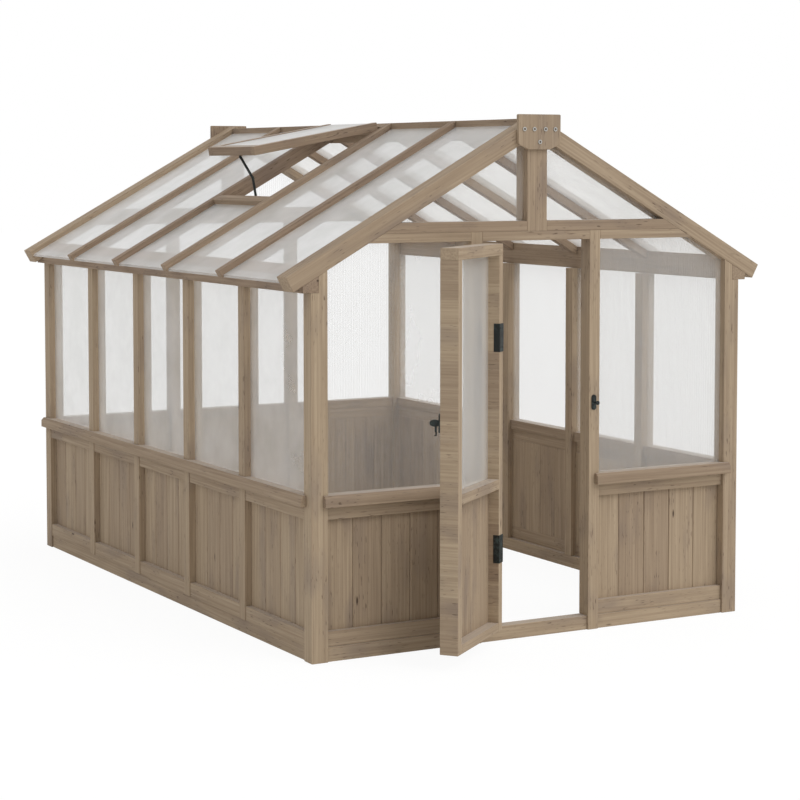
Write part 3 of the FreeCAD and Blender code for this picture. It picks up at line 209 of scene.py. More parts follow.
def timber_material(name, settings, cross_grained=False):
    """Weathered softwood. The eye gets soft long fibres, ring figure, a few short checks and grey stains.

    What lies level is painted lighter: painted top light, for the light that falls on it from above.
    A cross-grained one is the glued edge of a laminated stile: short blocks whose fibres run across.
    Fibres are drawn some millimetres wide, coarser than real ones, so that they show across a garden.
    """
    material, tree = new_material(name)
    place = add(tree, "ShaderNodeAttribute", {"attribute_name": "grain"}).outputs["Vector"]
    tone = add(tree, "ShaderNodeAttribute", {"attribute_name": "tone"}).outputs["Fac"]
    if cross_grained:
        axes = add(tree, "ShaderNodeSeparateXYZ", links={0: place}).outputs
        count = add(tree, "ShaderNodeMath", {"operation": "DIVIDE", 1: settings.block}, {0: axes[0]})
        block = add(tree, "ShaderNodeMath", {"operation": "FLOOR"}, {0: count.outputs[0]}).outputs[0]
        drawn = add(tree, "ShaderNodeTexWhiteNoise", {"noise_dimensions": "1D"}, {"W": block})
        tone = add(tree, "ShaderNodeMapRange", {"From Min": 0.5, "From Max": 0.8, "To Max": 0.6},
                   {"Value": drawn.outputs["Value"]}).outputs[0]
        slid = add(tree, "ShaderNodeMath", {"operation": "MULTIPLY_ADD", 1: BLOCK_SLIDE},
                   {0: block, 2: axes[1]}).outputs[0]
        place = add(tree, "ShaderNodeCombineXYZ", links={0: slid, 1: axes[0], 2: axes[2]}).outputs[0]
    fibre_at, growth_at, rain_at, slit_at, knot_at = (
        add(tree, "ShaderNodeMapping", {"Scale": drawn_out(*size)}, {"Vector": place}).outputs[0]
        for size in ((FIBRE_LENGTH, settings.fibre), GROWTH_SIZE, RAIN_SIZE, SLIT_SIZE, KNOT_SPACING)
    )

    fibre = add(tree, "ShaderNodeTexNoise", {"Scale": 1.0, "Detail": 4.0, "Roughness": 0.55},
                {"Vector": fibre_at}).outputs[0]
    growth = add(tree, "ShaderNodeTexNoise", {"Scale": 1.0, "Detail": 1.0}, {"Vector": growth_at})
    turns = add(tree, "ShaderNodeMath", {"operation": "MULTIPLY", 1: RING_TURNS}, {0: growth.outputs[0]})
    rings = add(tree, "ShaderNodeMath", {"operation": "SINE"}, {0: turns.outputs[0]}).outputs[0]
    rain = add(tree, "ShaderNodeTexNoise", {"Scale": 1.0, "Detail": 2.0}, {"Vector": rain_at}).outputs[0]
    slits = add(tree, "ShaderNodeTexNoise", {"Scale": 1.0, "Detail": 0.0}, {"Vector": slit_at}).outputs[0]
    opened = add(tree, "ShaderNodeMapRange", {"From Min": 0.71, "From Max": 0.79, "To Max": 0.8},
                 {"Value": slits}).outputs[0]
    dry = add(tree, "ShaderNodeMapRange", {"From Min": 0.4, "From Max": 0.6}, {"Value": rain}).outputs[0]
    checks = add(tree, "ShaderNodeMath", {"operation": "MULTIPLY"}, {0: opened, 1: dry}).outputs[0]
    cells = add(tree, "ShaderNodeTexVoronoi", {"Scale": 1.0}, {"Vector": knot_at}).outputs
    near = add(tree, "ShaderNodeMapRange",
               {"From Min": 0.03, "From Max": 0.075, "To Min": 1.0, "To Max": 0.0},
               {"Value": cells["Distance"]}).outputs[0]
    few = add(tree, "ShaderNodeMapRange", {"From Min": 0.7, "From Max": 0.74},
              {"Value": cells["Color"]}).outputs[0]
    knots = add(tree, "ShaderNodeMath", {"operation": "MULTIPLY"}, {0: near, 1: few}).outputs[0]
    normal = add(tree, "ShaderNodeNewGeometry").outputs["Normal"]
    upward = add(tree, "ShaderNodeVectorMath", {"operation": "DOT_PRODUCT", 1: UP}, {0: normal})

    fibrous = add(tree, "ShaderNodeMapRange", {"From Min": 0.3, "From Max": 0.7}, {"Value": fibre}).outputs[0]
    ringed = add(tree, "ShaderNodeMapRange", {"From Min": -0.2, "To Max": 0.18}, {"Value": rings}).outputs[0]
    stained = add(tree, "ShaderNodeMapRange", {"From Min": 0.52, "From Max": 0.72, "To Max": 0.6},
                  {"Value": rain}).outputs[0]
    # Painted top light: faces that point up are painted towards a pale grey, as light from above would make them
    top_light_share = add(tree, "ShaderNodeMapRange", {"From Min": 0.9, "From Max": 0.98, "To Max": 0.38},
                   {"Value": upward.outputs["Value"]}).outputs[0]
    colours = {"data_type": "RGBA", 6: linear(settings.pale), 7: linear(settings.brown)}
    colour = add(tree, "ShaderNodeMix", colours, {0: fibrous}).outputs[2]
    for laid_over, share, blend in (
        (settings.brown, ringed, "MIX"),
        (settings.stain, stained, "MIX"),
        (settings.crack, checks, "MIX"),
        (settings.knot, knots, "MIX"),
        (settings.shade, tone, "MULTIPLY"),
        (settings.painted_top_light, top_light_share, "MIX"),
    ):
        colours = {"data_type": "RGBA", "blend_type": blend, 7: linear(laid_over)}
        colour = add(tree, "ShaderNodeMix", colours, {0: share, 6: colour}).outputs[2]
    flaws = add(tree, "ShaderNodeMath", {"operation": "ADD"}, {0: checks, 1: knots}).outputs[0]
    height = add(tree, "ShaderNodeMath", {"operation": "SUBTRACT"}, {0: fibre, 1: flaws}).outputs[0]
    bump = add(tree, "ShaderNodeBump", {"Strength": 0.3, "Distance": 0.8 * MM}, {"Height": height}).outputs[0]
    rough = add(tree, "ShaderNodeMapRange",
                {"From Min": 0.3, "From Max": 0.7, "To Min": 0.62, "To Max": 0.82},
                {"Value": fibre}).outputs[0]
    shader = add(tree, "ShaderNodeBsdfPrincipled", {"Specular IOR Level": 0.3},
                 {"Base Color": colour, "Roughness": rough, "Normal": bump})
    add(tree, "ShaderNodeOutputMaterial", links={"Surface": shader.outputs[0]})
    return material


# Share of a clean sheet's haze that throws light back, the rise of the haze towards a slant, and the share
# of it that falling light meets
HALF_BACK = 0.5
SLANT_POWER = 2.2
LIGHT_HELD = 0.3
POLYCARBONATE_IOR = 1.58


def sheet_material(name, settings, across, ruled, dust=0.0, back=HALF_BACK, sawn=False):
    """Twin-wall polycarbonate, extruded. The eye gets a clear haze ruled with webs, milky along the face.

    The haze throws a part of its light back and sends the rest on, and light that falls in meets less of it
    than the eye does, so most light reaches the plants. Dust makes a sheet duller, and where it lies on top
    it throws more light back. A sawn edge shows a row of dark cells between pale webs: painted shade inside
    the open flutes.
    Webs are drawn 14 mm apart, coarser than the usual 10 mm, so that they show across a garden. A sheet that
    isn't ruled has clouds of a thin film of dust instead, because webs run together at a slant.
    """
    material, tree = new_material(name)
    place = add(tree, "ShaderNodeTexCoord").outputs["Object"]
    film = add(tree, "ShaderNodeTexNoise", {"Scale": 1 / settings.cloud, "Detail": 3.0}, {"Vector": place})
    clouds = add(tree, "ShaderNodeMapRange", {"From Min": 0.35, "From Max": 0.65},
                 {"Value": film.outputs[0]}).outputs[0]
    pattern, half = clouds, settings.film
    if ruled:
        run = add(tree, "ShaderNodeVectorMath", {"operation": "DOT_PRODUCT", 1: across}, {0: place})
        turns = add(tree, "ShaderNodeMath", {"operation": "MULTIPLY", 1: 2 * math.pi / settings.flute},
                    {0: run.outputs["Value"]})
        wave = add(tree, "ShaderNodeMath", {"operation": "SINE"}, {0: turns.outputs[0]}).outputs[0]
        pattern = add(tree, "ShaderNodeMapRange", {"From Min": -0.1}, {"Value": wave}).outputs[0]
        half = (settings.web - settings.clear) / 2
    middle = settings.closed if sawn else (settings.clear + settings.web) / 2 + dust
    # On a sawn end the colour between the webs is painted shade
    between = linear(settings.cell if sawn else settings.haze)
    colour = add(tree, "ShaderNodeMix", {"data_type": "RGBA", 6: between, 7: linear(settings.rib)},
                 {0: pattern}).outputs[2]
    held = add(tree, "ShaderNodeMapRange", {"To Min": middle - half, "To Max": middle + half},
               {"Value": pattern}).outputs[0]
    rough = add(tree, "ShaderNodeMapRange", {"To Min": 0.28, "To Max": 0.36}, {"Value": clouds}).outputs[0]
    facing = add(tree, "ShaderNodeLayerWeight", {"Blend": 0.5}).outputs["Facing"]
    bent = add(tree, "ShaderNodeMath", {"operation": "POWER", 1: SLANT_POWER}, {0: facing}).outputs[0]
    milky = add(tree, "ShaderNodeMath", {"operation": "MULTIPLY_ADD", 1: settings.slant},
                {0: bent, 2: held}).outputs[0]
    path = add(tree, "ShaderNodeLightPath").outputs
    lighting = add(tree, "ShaderNodeMath", {"operation": "MAXIMUM"},
                   {0: path["Is Shadow Ray"], 1: path["Is Diffuse Ray"]}).outputs[0]
    met = add(tree, "ShaderNodeMapRange", {"To Min": 1.0, "To Max": LIGHT_HELD},
              {"Value": lighting}).outputs[0]
    alpha = add(tree, "ShaderNodeMath", {"operation": "MULTIPLY"}, {0: milky, 1: met}).outputs[0]
    thrown_back = add(tree, "ShaderNodeBsdfPrincipled", {"IOR": POLYCARBONATE_IOR},
                      {"Base Color": colour, "Roughness": rough}).outputs[0]
    sent_on = add(tree, "ShaderNodeBsdfTranslucent", links={"Color": colour}).outputs[0]
    milk = add(tree, "ShaderNodeMixShader", {0: 1 - back}, {1: thrown_back, 2: sent_on}).outputs[0]
    clear = add(tree, "ShaderNodeBsdfTransparent").outputs[0]
    shader = add(tree, "ShaderNodeMixShader", links={0: alpha, 1: clear, 2: milk})
    add(tree, "ShaderNodeOutputMaterial", links={"Surface": shader.outputs[0]})
    return material


def iron_material(name, settings):
    """Black painted iron, weathered. The eye gets a satin, pitted black with patches of green-grey bloom."""
    material, tree = new_material(name)
    place = add(tree, "ShaderNodeTexCoord").outputs["Object"]
    pits = add(tree, "ShaderNodeTexNoise", {"Scale": 1 / (12 * MM), "Detail": 4.0, "Roughness": 0.7},
               {"Vector": place}).outputs[0]
    wide = add(tree, "ShaderNodeTexNoise", {"Scale": 1 / (45 * MM), "Detail": 2.0},
               {"Vector": place}).outputs[0]
    spots = add(tree, "ShaderNodeMapRange", {"From Min": 0.44, "From Max": 0.6}, {"Value": pits}).outputs[0]
    areas = add(tree, "ShaderNodeMapRange", {"From Min": 0.35, "From Max": 0.6}, {"Value": wide}).outputs[0]
    bloom = add(tree, "ShaderNodeMath", {"operation": "MULTIPLY"}, {0: spots, 1: areas}).outputs[0]
    colours = {"data_type": "RGBA", 6: linear(settings.dark), 7: linear(settings.bloom)}
    colour = add(tree, "ShaderNodeMix", colours, {0: bloom}).outputs[2]
    bump = add(tree, "ShaderNodeBump", {"Strength": 0.4, "Distance": 0.5 * MM}, {"Height": pits}).outputs[0]
    rough = add(tree, "ShaderNodeMapRange",
                {"From Min": 0.3, "From Max": 0.7, "To Min": 0.42, "To Max": 0.62},
                {"Value": pits}).outputs[0]
    shader = add(tree, "ShaderNodeBsdfPrincipled", {"Specular IOR Level": 0.3},
                 {"Base Color": colour, "Roughness": rough, "Normal": bump})
    add(tree, "ShaderNodeOutputMaterial", links={"Surface": shader.outputs[0]})
    return material


def zinc_material(name, settings):
    """Zinc-plated steel, dull bright. The eye gets a pale metal with a fine spangle."""
    material, tree = new_material(name)
    place = add(tree, "ShaderNodeTexCoord").outputs["Object"]
    spangle = add(tree, "ShaderNodeTexVoronoi", {"Scale": 1 / (4 * MM)}, {"Vector": place}).outputs["Color"]
    share = add(tree, "ShaderNodeMapRange", {"To Max": 0.25}, {"Value": spangle}).outputs[0]
    colours = {"data_type": "RGBA", 6: linear(settings.zinc), 7: linear(settings.spangle)}
    colour = add(tree, "ShaderNodeMix", colours, {0: share}).outputs[2]
    rough = add(tree, "ShaderNodeMapRange", {"To Min": 0.28, "To Max": 0.42}, {"Value": spangle}).outputs[0]
    shader = add(tree, "ShaderNodeBsdfPrincipled", {"Metallic": 1.0},
                 {"Base Color": colour, "Roughness": rough})
    add(tree, "ShaderNodeOutputMaterial", links={"Surface": shader.outputs[0]})
    return material


def socket_shade_material(name, settings):
    """Painted shade in a steel socket, in the colour of dirt. The eye gets a dull dark brown with a few grains."""
    material, tree = new_material(name)
    place = add(tree, "ShaderNodeTexCoord").outputs["Object"]
    grains = add(tree, "ShaderNodeTexNoise", {"Scale": 1 / (2 * MM), "Detail": 2.0}, {"Vector": place})
    share = add(tree, "ShaderNodeMapRange", {"From Min": 0.4, "From Max": 0.7},
                {"Value": grains.outputs[0]}).outputs[0]
    colours = {"data_type": "RGBA", 6: linear(settings.socket_shade), 7: linear(settings.socket_shade_grain)}
    colour = add(tree, "ShaderNodeMix", colours, {0: share}).outputs[2]
    shader = add(tree, "ShaderNodeBsdfPrincipled", {"Roughness": 0.85}, {"Base Color": colour})
    add(tree, "ShaderNodeOutputMaterial", links={"Surface": shader.outputs[0]})
    return material


def material_of(kind, name, *more):
    """The material of that name, made once."""
    return bpy.data.materials.get(name) or kind(name, *more)


def values_of(rows, name, width=1):
    """One property of all vertices or faces as an array."""
    values = np.empty(len(rows) * width)
    rows.foreach_get(name, values)
    return values.reshape(-1, width) if width > 1 else values


# A solid has at least the faces of a tetrahedron
FEWEST_FACES = 4


def solids_of(mesh):
    """Points of a CAD node, its triangles, and the number of the solid that each triangle belongs to.

    Corners at one place are one point. Two triangles belong to one solid if they are the only two on an edge.
    Strays, where two solids meet in one face, belong to the solid that is listed before them.
    """
    grid = 0.01 * MM
    mesh.calc_loop_triangles()
    corners = np.empty(len(mesh.loop_triangles) * 3, np.int32)
    mesh.loop_triangles.foreach_get("vertices", corners)
    steps = np.round(values_of(mesh.vertices, "co", 3) / grid).astype(np.int64)
    points, index = np.unique(steps, axis=0, return_inverse=True)
    faces = index.reshape(-1)[corners].reshape(-1, 3)
    pairs = edges_of(faces)[1]
    label = np.arange(len(faces))
    while True:
        low = np.minimum(label[pairs[:, 0]], label[pairs[:, 1]])
        new = label.copy()
        np.minimum.at(new, pairs[:, 0], low)
        np.minimum.at(new, pairs[:, 1], low)
        if (new == label).all():
            break
        label = new
    roots, sizes = np.unique(label, return_counts=True)
    whole = roots[sizes >= FEWEST_FACES]
    stray = ~np.isin(label, whole)
    label[stray] = whole[np.searchsorted(whole, label[stray]) - 1]
    return points * grid, faces, label


def edges_of(faces):
    """Edges that have just two triangles, as pairs of points, and those pairs of triangles."""
    ends = np.sort(np.concatenate([faces[:, [0, 1]], faces[:, [1, 2]], faces[:, [2, 0]]]), axis=1)
    owner = np.tile(np.arange(len(faces)), 3)
    kinds, kind_of, uses = np.unique(ends, axis=0, return_inverse=True, return_counts=True)
    kind_of = kind_of.reshape(-1)
    order = np.argsort(kind_of, kind="stable")
    paired = uses[kind_of[order]] == 2
    return kinds[uses == 2], owner[order][paired].reshape(-1, 2)


# Turns between faces that make an edge sharp or none, and the cosine up to which two edges are square
SHARP = math.radians(20)
FLAT = math.radians(1)
SQUARE_TO = 0.1


def grain_axes(points, faces):
    """Direction of the longest sharp edge, which the grain follows, and of the longest one square to it."""
    a, b, c = points[faces].transpose(1, 0, 2)
    normals = np.cross(b - a, c - a)
    normals /= np.linalg.norm(normals, axis=1, keepdims=True)
    ends, pairs = edges_of(faces)
    turn = (normals[pairs[:, 0]] * normals[pairs[:, 1]]).sum(axis=1)
    ends = ends[turn < math.cos(SHARP)]
    runs = points[ends[:, 1]] - points[ends[:, 0]]
    lengths = np.linalg.norm(runs, axis=1)
    along = runs[lengths.argmax()] / lengths.max()
    flat = runs - np.outer(runs @ along, along)
    wide = np.linalg.norm(flat, axis=1)
    wide[np.abs(runs @ along) > SQUARE_TO * lengths] = 0
    return along, flat[wide.argmax()] / wide.max()


def eased_solid(points, faces, ease):
    """One solid as a mesh, its triangles joined to flat faces and every sharp edge rounded."""
    used, local = np.unique(faces, return_inverse=True)
    mesh = bpy.data.meshes.new("solid")
    mesh.from_pydata(points[used].tolist(), [], local.reshape(-1, 3).tolist())
    shape = bmesh.new()
    shape.from_mesh(mesh)
    bmesh.ops.dissolve_limit(shape, angle_limit=FLAT, verts=shape.verts, edges=shape.edges)
    sharp = [edge for edge in shape.edges if edge.is_manifold and edge.calc_face_angle() > SHARP]
    bmesh.ops.bevel(shape, geom=sharp, offset=ease, segments=2, profile=0.5, affect="EDGES",
                    clamp_overlap=True)
    bmesh.ops.recalc_face_normals(shape, faces=shape.faces)
    shape.to_mesh(mesh)
    shape.free()
    return mesh


def show(name, mesh, body, slot, *replaced):
    """Put a mesh into the scene as a piece that rides on a body and stands in for CAD nodes."""
    piece = bpy.data.objects.new(name, mesh)
    bpy.context.scene.collection.objects.link(piece)
    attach(piece, body)
    if replaced:
        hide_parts(*replaced)
    return piece


# Farthest that a piece's grain is shifted, in metres
GRAIN_SHIFT = 40.0


def eased_timbers(node, ease, tones, seed):
    """Stand-in for a timber node: eased solids that carry their own grain place and tone.

    The grain place is the distance along, across and through the piece, shifted by a draw of its own, so
    that no two pieces are sawn alike. The tone is one draw for a whole piece, from palest 0 to darkest 1.
    """
    draw = np.random.default_rng(seed)
    points, faces, label = solids_of(frame["nodes"][node].data)
    joined = bmesh.new()
    grains = []
    drawn = []
    for root in np.unique(label):
        solid = faces[label == root]
        along, across = (UP, SIDEWAYS) if node in UPRIGHT else grain_axes(points, solid)
        mesh = eased_solid(points, solid, ease)
        places = values_of(mesh.vertices, "co", 3)
        axes = np.stack([along, across, np.cross(along, across)])
        grains.append(places @ axes.T + draw.uniform(-GRAIN_SHIFT, GRAIN_SHIFT, 3))
        drawn.append(np.full(len(places), draw.uniform(*tones)))
        joined.from_mesh(mesh)
        bpy.data.meshes.remove(mesh)
    mesh = bpy.data.meshes.new(node + "_timber")
    joined.to_mesh(mesh)
    joined.free()
    grain = mesh.attributes.new("grain", "FLOAT_VECTOR", "POINT")
    grain.data.foreach_set("vector", np.concatenate(grains).ravel())
    tone = mesh.attributes.new("tone", "FLOAT", "POINT")
    tone.data.foreach_set("value", np.concatenate(drawn))
    return show(node + "_timber", mesh, BODY_OF[node], SLOT_OF[node], node)


def dress_timbers(nodes, ease, tones, settings, first_seed):
    """Eased stand-ins with the plain timber material."""
    made = []
    for i, node in enumerate(nodes):
        piece = eased_timbers(node, ease, tones, first_seed + i)
        piece.data.materials.append(material_of(timber_material, "weathered softwood, planed", settings))
        made.append(piece)
    return made


# Share of an axis that points up, from which it counts as upright
STEEP = 0.9


def turned(name, radii, heights, places, axes):
    """Closed turned forms: a profile of radii and heights carried round an axis, one form at each place.

    Heights may differ round the axis. The first and last rows have no radius and are the two poles.
    """
    rows, around = heights.shape
    angles = np.linspace(0, 2 * math.pi, around, endpoint=False)
    axes = axes / np.linalg.norm(axes, axis=1, keepdims=True)
    helper = np.where(np.abs(axes[:, 2:]) < STEEP, UP, SIDEWAYS)
    first = np.cross(helper, axes)
    first /= np.linalg.norm(first, axis=1, keepdims=True)
    second = np.cross(axes, first)
    ring = radii[1:-1, None, None, None]
    sides = ring * (np.cos(angles)[:, None, None] * first + np.sin(angles)[:, None, None] * second)
    sides = sides + heights[1:-1, :, None, None] * axes + places
    poles = [places + heights[i].mean() * axes for i in (0, -1)]
    count = (rows - 2) * around
    verts = np.concatenate([sides.reshape(count, -1, 3), poles]).transpose(1, 0, 2)
    step = np.arange(around)
    after = (step + 1) % around
    base = np.arange(rows - 3)[:, None] * around
    quads = np.stack([base + step, base + around + step, base + around + after, base + after], axis=-1)
    top = np.stack([np.full(around, count), step, after], axis=-1)
    low = (rows - 3) * around
    bottom = np.stack([np.full(around, count + 1), low + after, low + step], axis=-1)
    shift = np.arange(len(places))[:, None, None] * (count + 2)
    faces = [kind.reshape(-1, kind.shape[-1]) + shift for kind in (quads, top, bottom)]
    mesh = bpy.data.meshes.new(name)
    mesh.from_pydata(verts.reshape(-1, 3).tolist(), [],
                     [face for kind in faces for face in kind.reshape(-1, kind.shape[-1]).tolist()])
    mesh.shade_smooth()
    return mesh


# A screw's head: its radius, its rise, how much of that its dome falls to the rim, and the cross in it
SCREW_RADIUS = 4.5 * MM
SCREW_RISE = 1.8 * MM
SCREW_FALL = 0.7
SCREW_FOOT = -0.5 * MM
CROSS_DEEP = 1.2 * MM
CROSS_HALF = 0.8 * MM
CROSS_REACH = 0.65
SCREW_AROUND = 40


def screw_heads(name, places, axes):
    """Round-headed screws with a cross sunk in a low dome, whose height falls with the radius squared."""
    shares = np.array([0, 0.15, 0.3, 0.45, 0.6, 0.7, 0.85, 1, 1, 0])
    angles = np.linspace(0, 2 * math.pi, SCREW_AROUND, endpoint=False)
    heights = np.repeat(SCREW_RISE * (1 - SCREW_FALL * shares ** 2)[:, None], len(angles), axis=1)
    narrow = np.minimum(np.abs(np.cos(angles)), np.abs(np.sin(angles)))
    in_cross = (shares[:, None] * SCREW_RADIUS * narrow < CROSS_HALF) & (shares[:, None] < CROSS_REACH)
    heights -= CROSS_DEEP * in_cross
    heights[-2:] = SCREW_FOOT
    return turned(name, shares * SCREW_RADIUS, heights, np.array(places), np.array(axes))


# Ranges of tone, from palest 0 to darkest 1
PALE = (0.0, 0.2)
MIDDLING = (0.15, 0.45)
MIXED = (0.05, 0.45)
DULL = (0.3, 0.55)
DARK = (0.55, 0.9)

# For each group of frame timbers: its nodes, their tones and the first seed
FRAME_GROUPS = (
    (POSTS, PALE, 100),
    (TIES, DULL, 116),
    (GABLE_TIMBERS, MIDDLING, 120),
    (UPRIGHT, DULL, 130),
    # Sills take the palest range, which is painted light: it makes up for the shade that falls near the floor
    (SILLS, PALE, 140),
    (ROOF_TIMBERS, DARK, 160),
)
RAIL_SEED, CAP_SEED, BOARD_SEED = 200, 220, 300
DOOR_SEED, DOOR_BOARD_SEED, VENT_SEED = 400, 410, 500


class GREENHOUSE_OT_frame_timbers(bpy.types.Operator):
    """Sills, posts, plates, ties, rakes, rafters and trimmers in weathered timber"""
    bl_idname = "greenhouse.frame_timbers"
    bl_label = "Frame timbers"

    def execute(self, context):
        settings = context.scene.greenhouse_timber
        for nodes, tones, seed in FRAME_GROUPS:
            dress_timbers(nodes, settings.ease, tones, settings, seed)
        return {"FINISHED"}


class GREENHOUSE_OT_dado(bpy.types.Operator):
    """Rails, grooved boards and caps of the low walls"""
    bl_idname = "greenhouse.dado"
    bl_label = "Dado"

    def execute(self, context):
        settings = context.scene.greenhouse_timber
        dress_timbers(DADO_RAILS, settings.ease, MIDDLING, settings, RAIL_SEED)
        dress_timbers(DADO_CAPS, settings.ease, DULL, settings, CAP_SEED)
        dress_timbers(DADO_BOARDS, settings.board_ease, MIXED, settings, BOARD_SEED)
        return {"FINISHED"}


# Cosine from which a face of a stile looks along the door's width
EDGE_ON = 0.9


class GREENHOUSE_OT_door_timbers(bpy.types.Operator):
    """Door stiles with laminated edges, rails and boards"""
    bl_idname = "greenhouse.door_timbers"
    bl_label = "Door timbers"

    def execute(self, context):
        settings = context.scene.greenhouse_timber
        stiles, _ = dress_timbers(("door_stiles", "door_rails"), settings.ease, PALE, settings, DOOR_SEED)
        dress_timbers(("door_boards",), settings.board_ease, MIDDLING, settings, DOOR_BOARD_SEED)
        glued = material_of(timber_material, "laminated softwood, glued edge", settings, True)
        stiles.data.materials.append(glued)
        is_edge = np.abs(values_of(stiles.data.polygons, "normal", 3) @ DOOR_ACROSS) > EDGE_ON
        stiles.data.polygons.foreach_set("material_index", is_edge.astype(np.int32))
        return {"FINISHED"}


class GREENHOUSE_OT_vent_timbers(bpy.types.Operator):
    """Stiles and rails of the roof vent's sash"""
    bl_idname = "greenhouse.vent_timbers"
    bl_label = "Vent timbers"

    def execute(self, context):
        settings = context.scene.greenhouse_timber
        dress_timbers(("vent_sash_frame",), settings.ease, DARK, settings, VENT_SEED)
        return {"FINISHED"}


# For each group of sheets: the direction across its flutes, whether they are drawn, and its nodes
SHEET_RUNS = {
    "gable": ((1.0, 0.0, 0.0), True, ("front_wall_panes", "rear_wall_panes", "gable_panes")),
    "side": ((0.0, 1.0, 0.0), False, ("left_wall_panes", "right_wall_panes")),
    "roof": ((0.0, 1.0, 0.0), False, ("left_roof_panes", "right_roof_panes", "vent_pane")),
    "door": (tuple(DOOR_ACROSS), True, ("door_pane",)),
}

# Cosine from which a face looks along an axis, half the doorway's width, the share of light that dust on a
# roof throws back, and the share of the largest area that makes a face broad
FACING = 0.5
DOOR_HALF = 0.3
ROOF_BACK = 0.8
BROAD_SHARE = 0.2


def broad_normals(normals, areas):
    """Normals of the broad faces, which together have a good share of the largest total area."""
    kinds, index = np.unique(np.round(normals, 2), axis=0, return_inverse=True)
    total = np.bincount(index.reshape(-1), weights=areas)
    return kinds[total > BROAD_SHARE * total.max()]


def dulled(group, node, mesh, normals):
    """Faces that lie under dust: the roof from above, and the sheet to the right of the door."""
    if group == "roof":
        return normals[:, 2] > FACING
    right = values_of(mesh.polygons, "center", 3)[:, 0] > DOOR_HALF
    return right & (node == "front_wall_panes")


class GREENHOUSE_OT_sheets(bpy.types.Operator):
    """Twin-wall sheets of walls, gables, roof, door and vent"""
    bl_idname = "greenhouse.sheets"
    bl_label = "Twin-wall sheets"

    def execute(self, context):
        settings = context.scene.greenhouse_sheet
        for group, (across, ruled, nodes) in SHEET_RUNS.items():
            name = f"twin-wall polycarbonate, {group}"
            back = ROOF_BACK if group == "roof" else HALF_BACK
            for node in nodes:
                mesh = frame["nodes"][node].data
                normals = values_of(mesh.polygons, "normal", 3)
                broad = broad_normals(normals, values_of(mesh.polygons, "area"))
                is_edge = np.abs(normals @ broad.T).max(axis=1) < FACING
                is_dull = dulled(group, node, mesh, normals) & ~is_edge
                is_sawn = is_edge & (node == "vent_pane")
                mesh.materials.clear()
                mesh.materials.append(material_of(sheet_material, name, settings, across, ruled))
                index = np.zeros(len(normals), np.int32)
                for finish, chosen, more in (
                    ("dusty", is_dull, (ruled, settings.dust, back)),
                    ("sawn edge", is_sawn, (True, 0.0, HALF_BACK, True)),
                ):
                    if chosen.any():
                        index[chosen] = len(mesh.materials)
                        mesh.materials.append(
                            material_of(sheet_material, f"{name}, {finish}", settings, across, *more))
                mesh.polygons.foreach_set("material_index", index)
        return {"FINISHED"}


# Distance from a bolt's axis within which a face belongs to its socket and gets the painted shade
SOCKET_REACH = 6.4 * MM


class GREENHOUSE_OT_bolts(bpy.types.Operator):
    """Gusset bolts in zinc, with painted shade in their sockets"""
    bl_idname = "greenhouse.bolts"
    bl_label = "Gusset bolts"

    def execute(self, context):
        settings = context.scene.greenhouse_iron
        bolts = frame["nodes"]["gusset_bolts"].data
        bolts.materials.clear()
        bolts.materials.append(material_of(zinc_material, "zinc-plated steel, dull", settings))
        bolts.materials.append(material_of(socket_shade_material, "painted shade in steel sockets, dirt brown", settings))
        points, faces, label = solids_of(bolts)
        middles = points[faces].mean(axis=1)[:, [0, 2]]
        roots, which = np.unique(label, return_inverse=True)
        axes = np.array([points[faces[label == root]].mean(axis=(0, 1))[[0, 2]] for root in roots])
        off = np.linalg.norm(middles - axes[which.reshape(-1)], axis=1)
        # Socket faces get the painted shade, the rest zinc
        bolts.polygons.foreach_set("material_index", (off < SOCKET_REACH).astype(np.int32))
        return {"FINISHED"}


class GREENHOUSE_OT_ironwork(bpy.types.Operator):
    """Hinges, keeper, latch and vent stay in black iron, with their screws"""
    bl_idname = "greenhouse.ironwork"
    bl_label = "Ironwork"

    def execute(self, context):
        iron = material_of(iron_material, "black painted iron, weathered", context.scene.greenhouse_iron)
        for node in IRON_NODES:
            frame["nodes"][node].data.materials.clear()
            frame["nodes"][node].data.materials.append(iron)
        slot = SLOT_OF["latch_plate"]
        for name, mesh, body, replaced in (
            ("door_screws", door_screws(), "door", ()),
            ("keeper_screws", keeper_screws(), "frame", ()),
            ("latch_grip", latch_grip(), "latch", ("latch_handle",)),
        ):
            mesh.materials.append(iron)
            show(name, mesh, body, slot, *replaced)
        return {"FINISHED"}


LATCH_AT = np.array(JOINT_OF["latch_turn"]["pos_m"])
LATCH_OUT = -DOOR_INWARD

# Screws of the door's hinge leaves: how far in their face is, the leaves' heights, and the screws on a leaf
LEAF_FACE = 98.2 * MM
LEAF_HEIGHTS = (464 * MM, 1456 * MM)
LEAF_COLUMNS = (15 * MM, 40 * MM)
LEAF_REACH = 45 * MM

# Screws of the latch plate and of the keeper plate: how far out the face is, and above and below the middle
LATCH_FACE = 8 * MM
LATCH_REACH = 34 * MM
KEEPER_REACH = 28 * MM


def door_screws():
    """Four screws on the inner leaf of each door hinge, and two on the latch plate."""
    places = [DOOR_ORIGIN + column * DOOR_ACROSS + LEAF_FACE * DOOR_INWARD + (height + reach) * UP
              for height in LEAF_HEIGHTS for column in LEAF_COLUMNS for reach in (-LEAF_REACH, LEAF_REACH)]
    axes = [DOOR_INWARD] * len(places)
    for reach in (-LATCH_REACH, LATCH_REACH):
        places.append(LATCH_AT + LATCH_FACE * LATCH_OUT + reach * UP)
        axes.append(LATCH_OUT)
    return screw_heads("door_screws", places, axes)


def keeper_screws():
    """Two screws on the keeper plate, above and below its stud."""
    box = values_of(frame["nodes"]["keeper_plate"].data.vertices, "co", 3)
    middle = (box.min(axis=0) + box.max(axis=0)) / 2
    face = np.array((middle[0], box[:, 1].min(), middle[2]))
    places = [face - KEEPER_REACH * UP, face + KEEPER_REACH * UP]
    return screw_heads("keeper_screws", places, [(0.0, -1.0, 0.0)] * len(places))


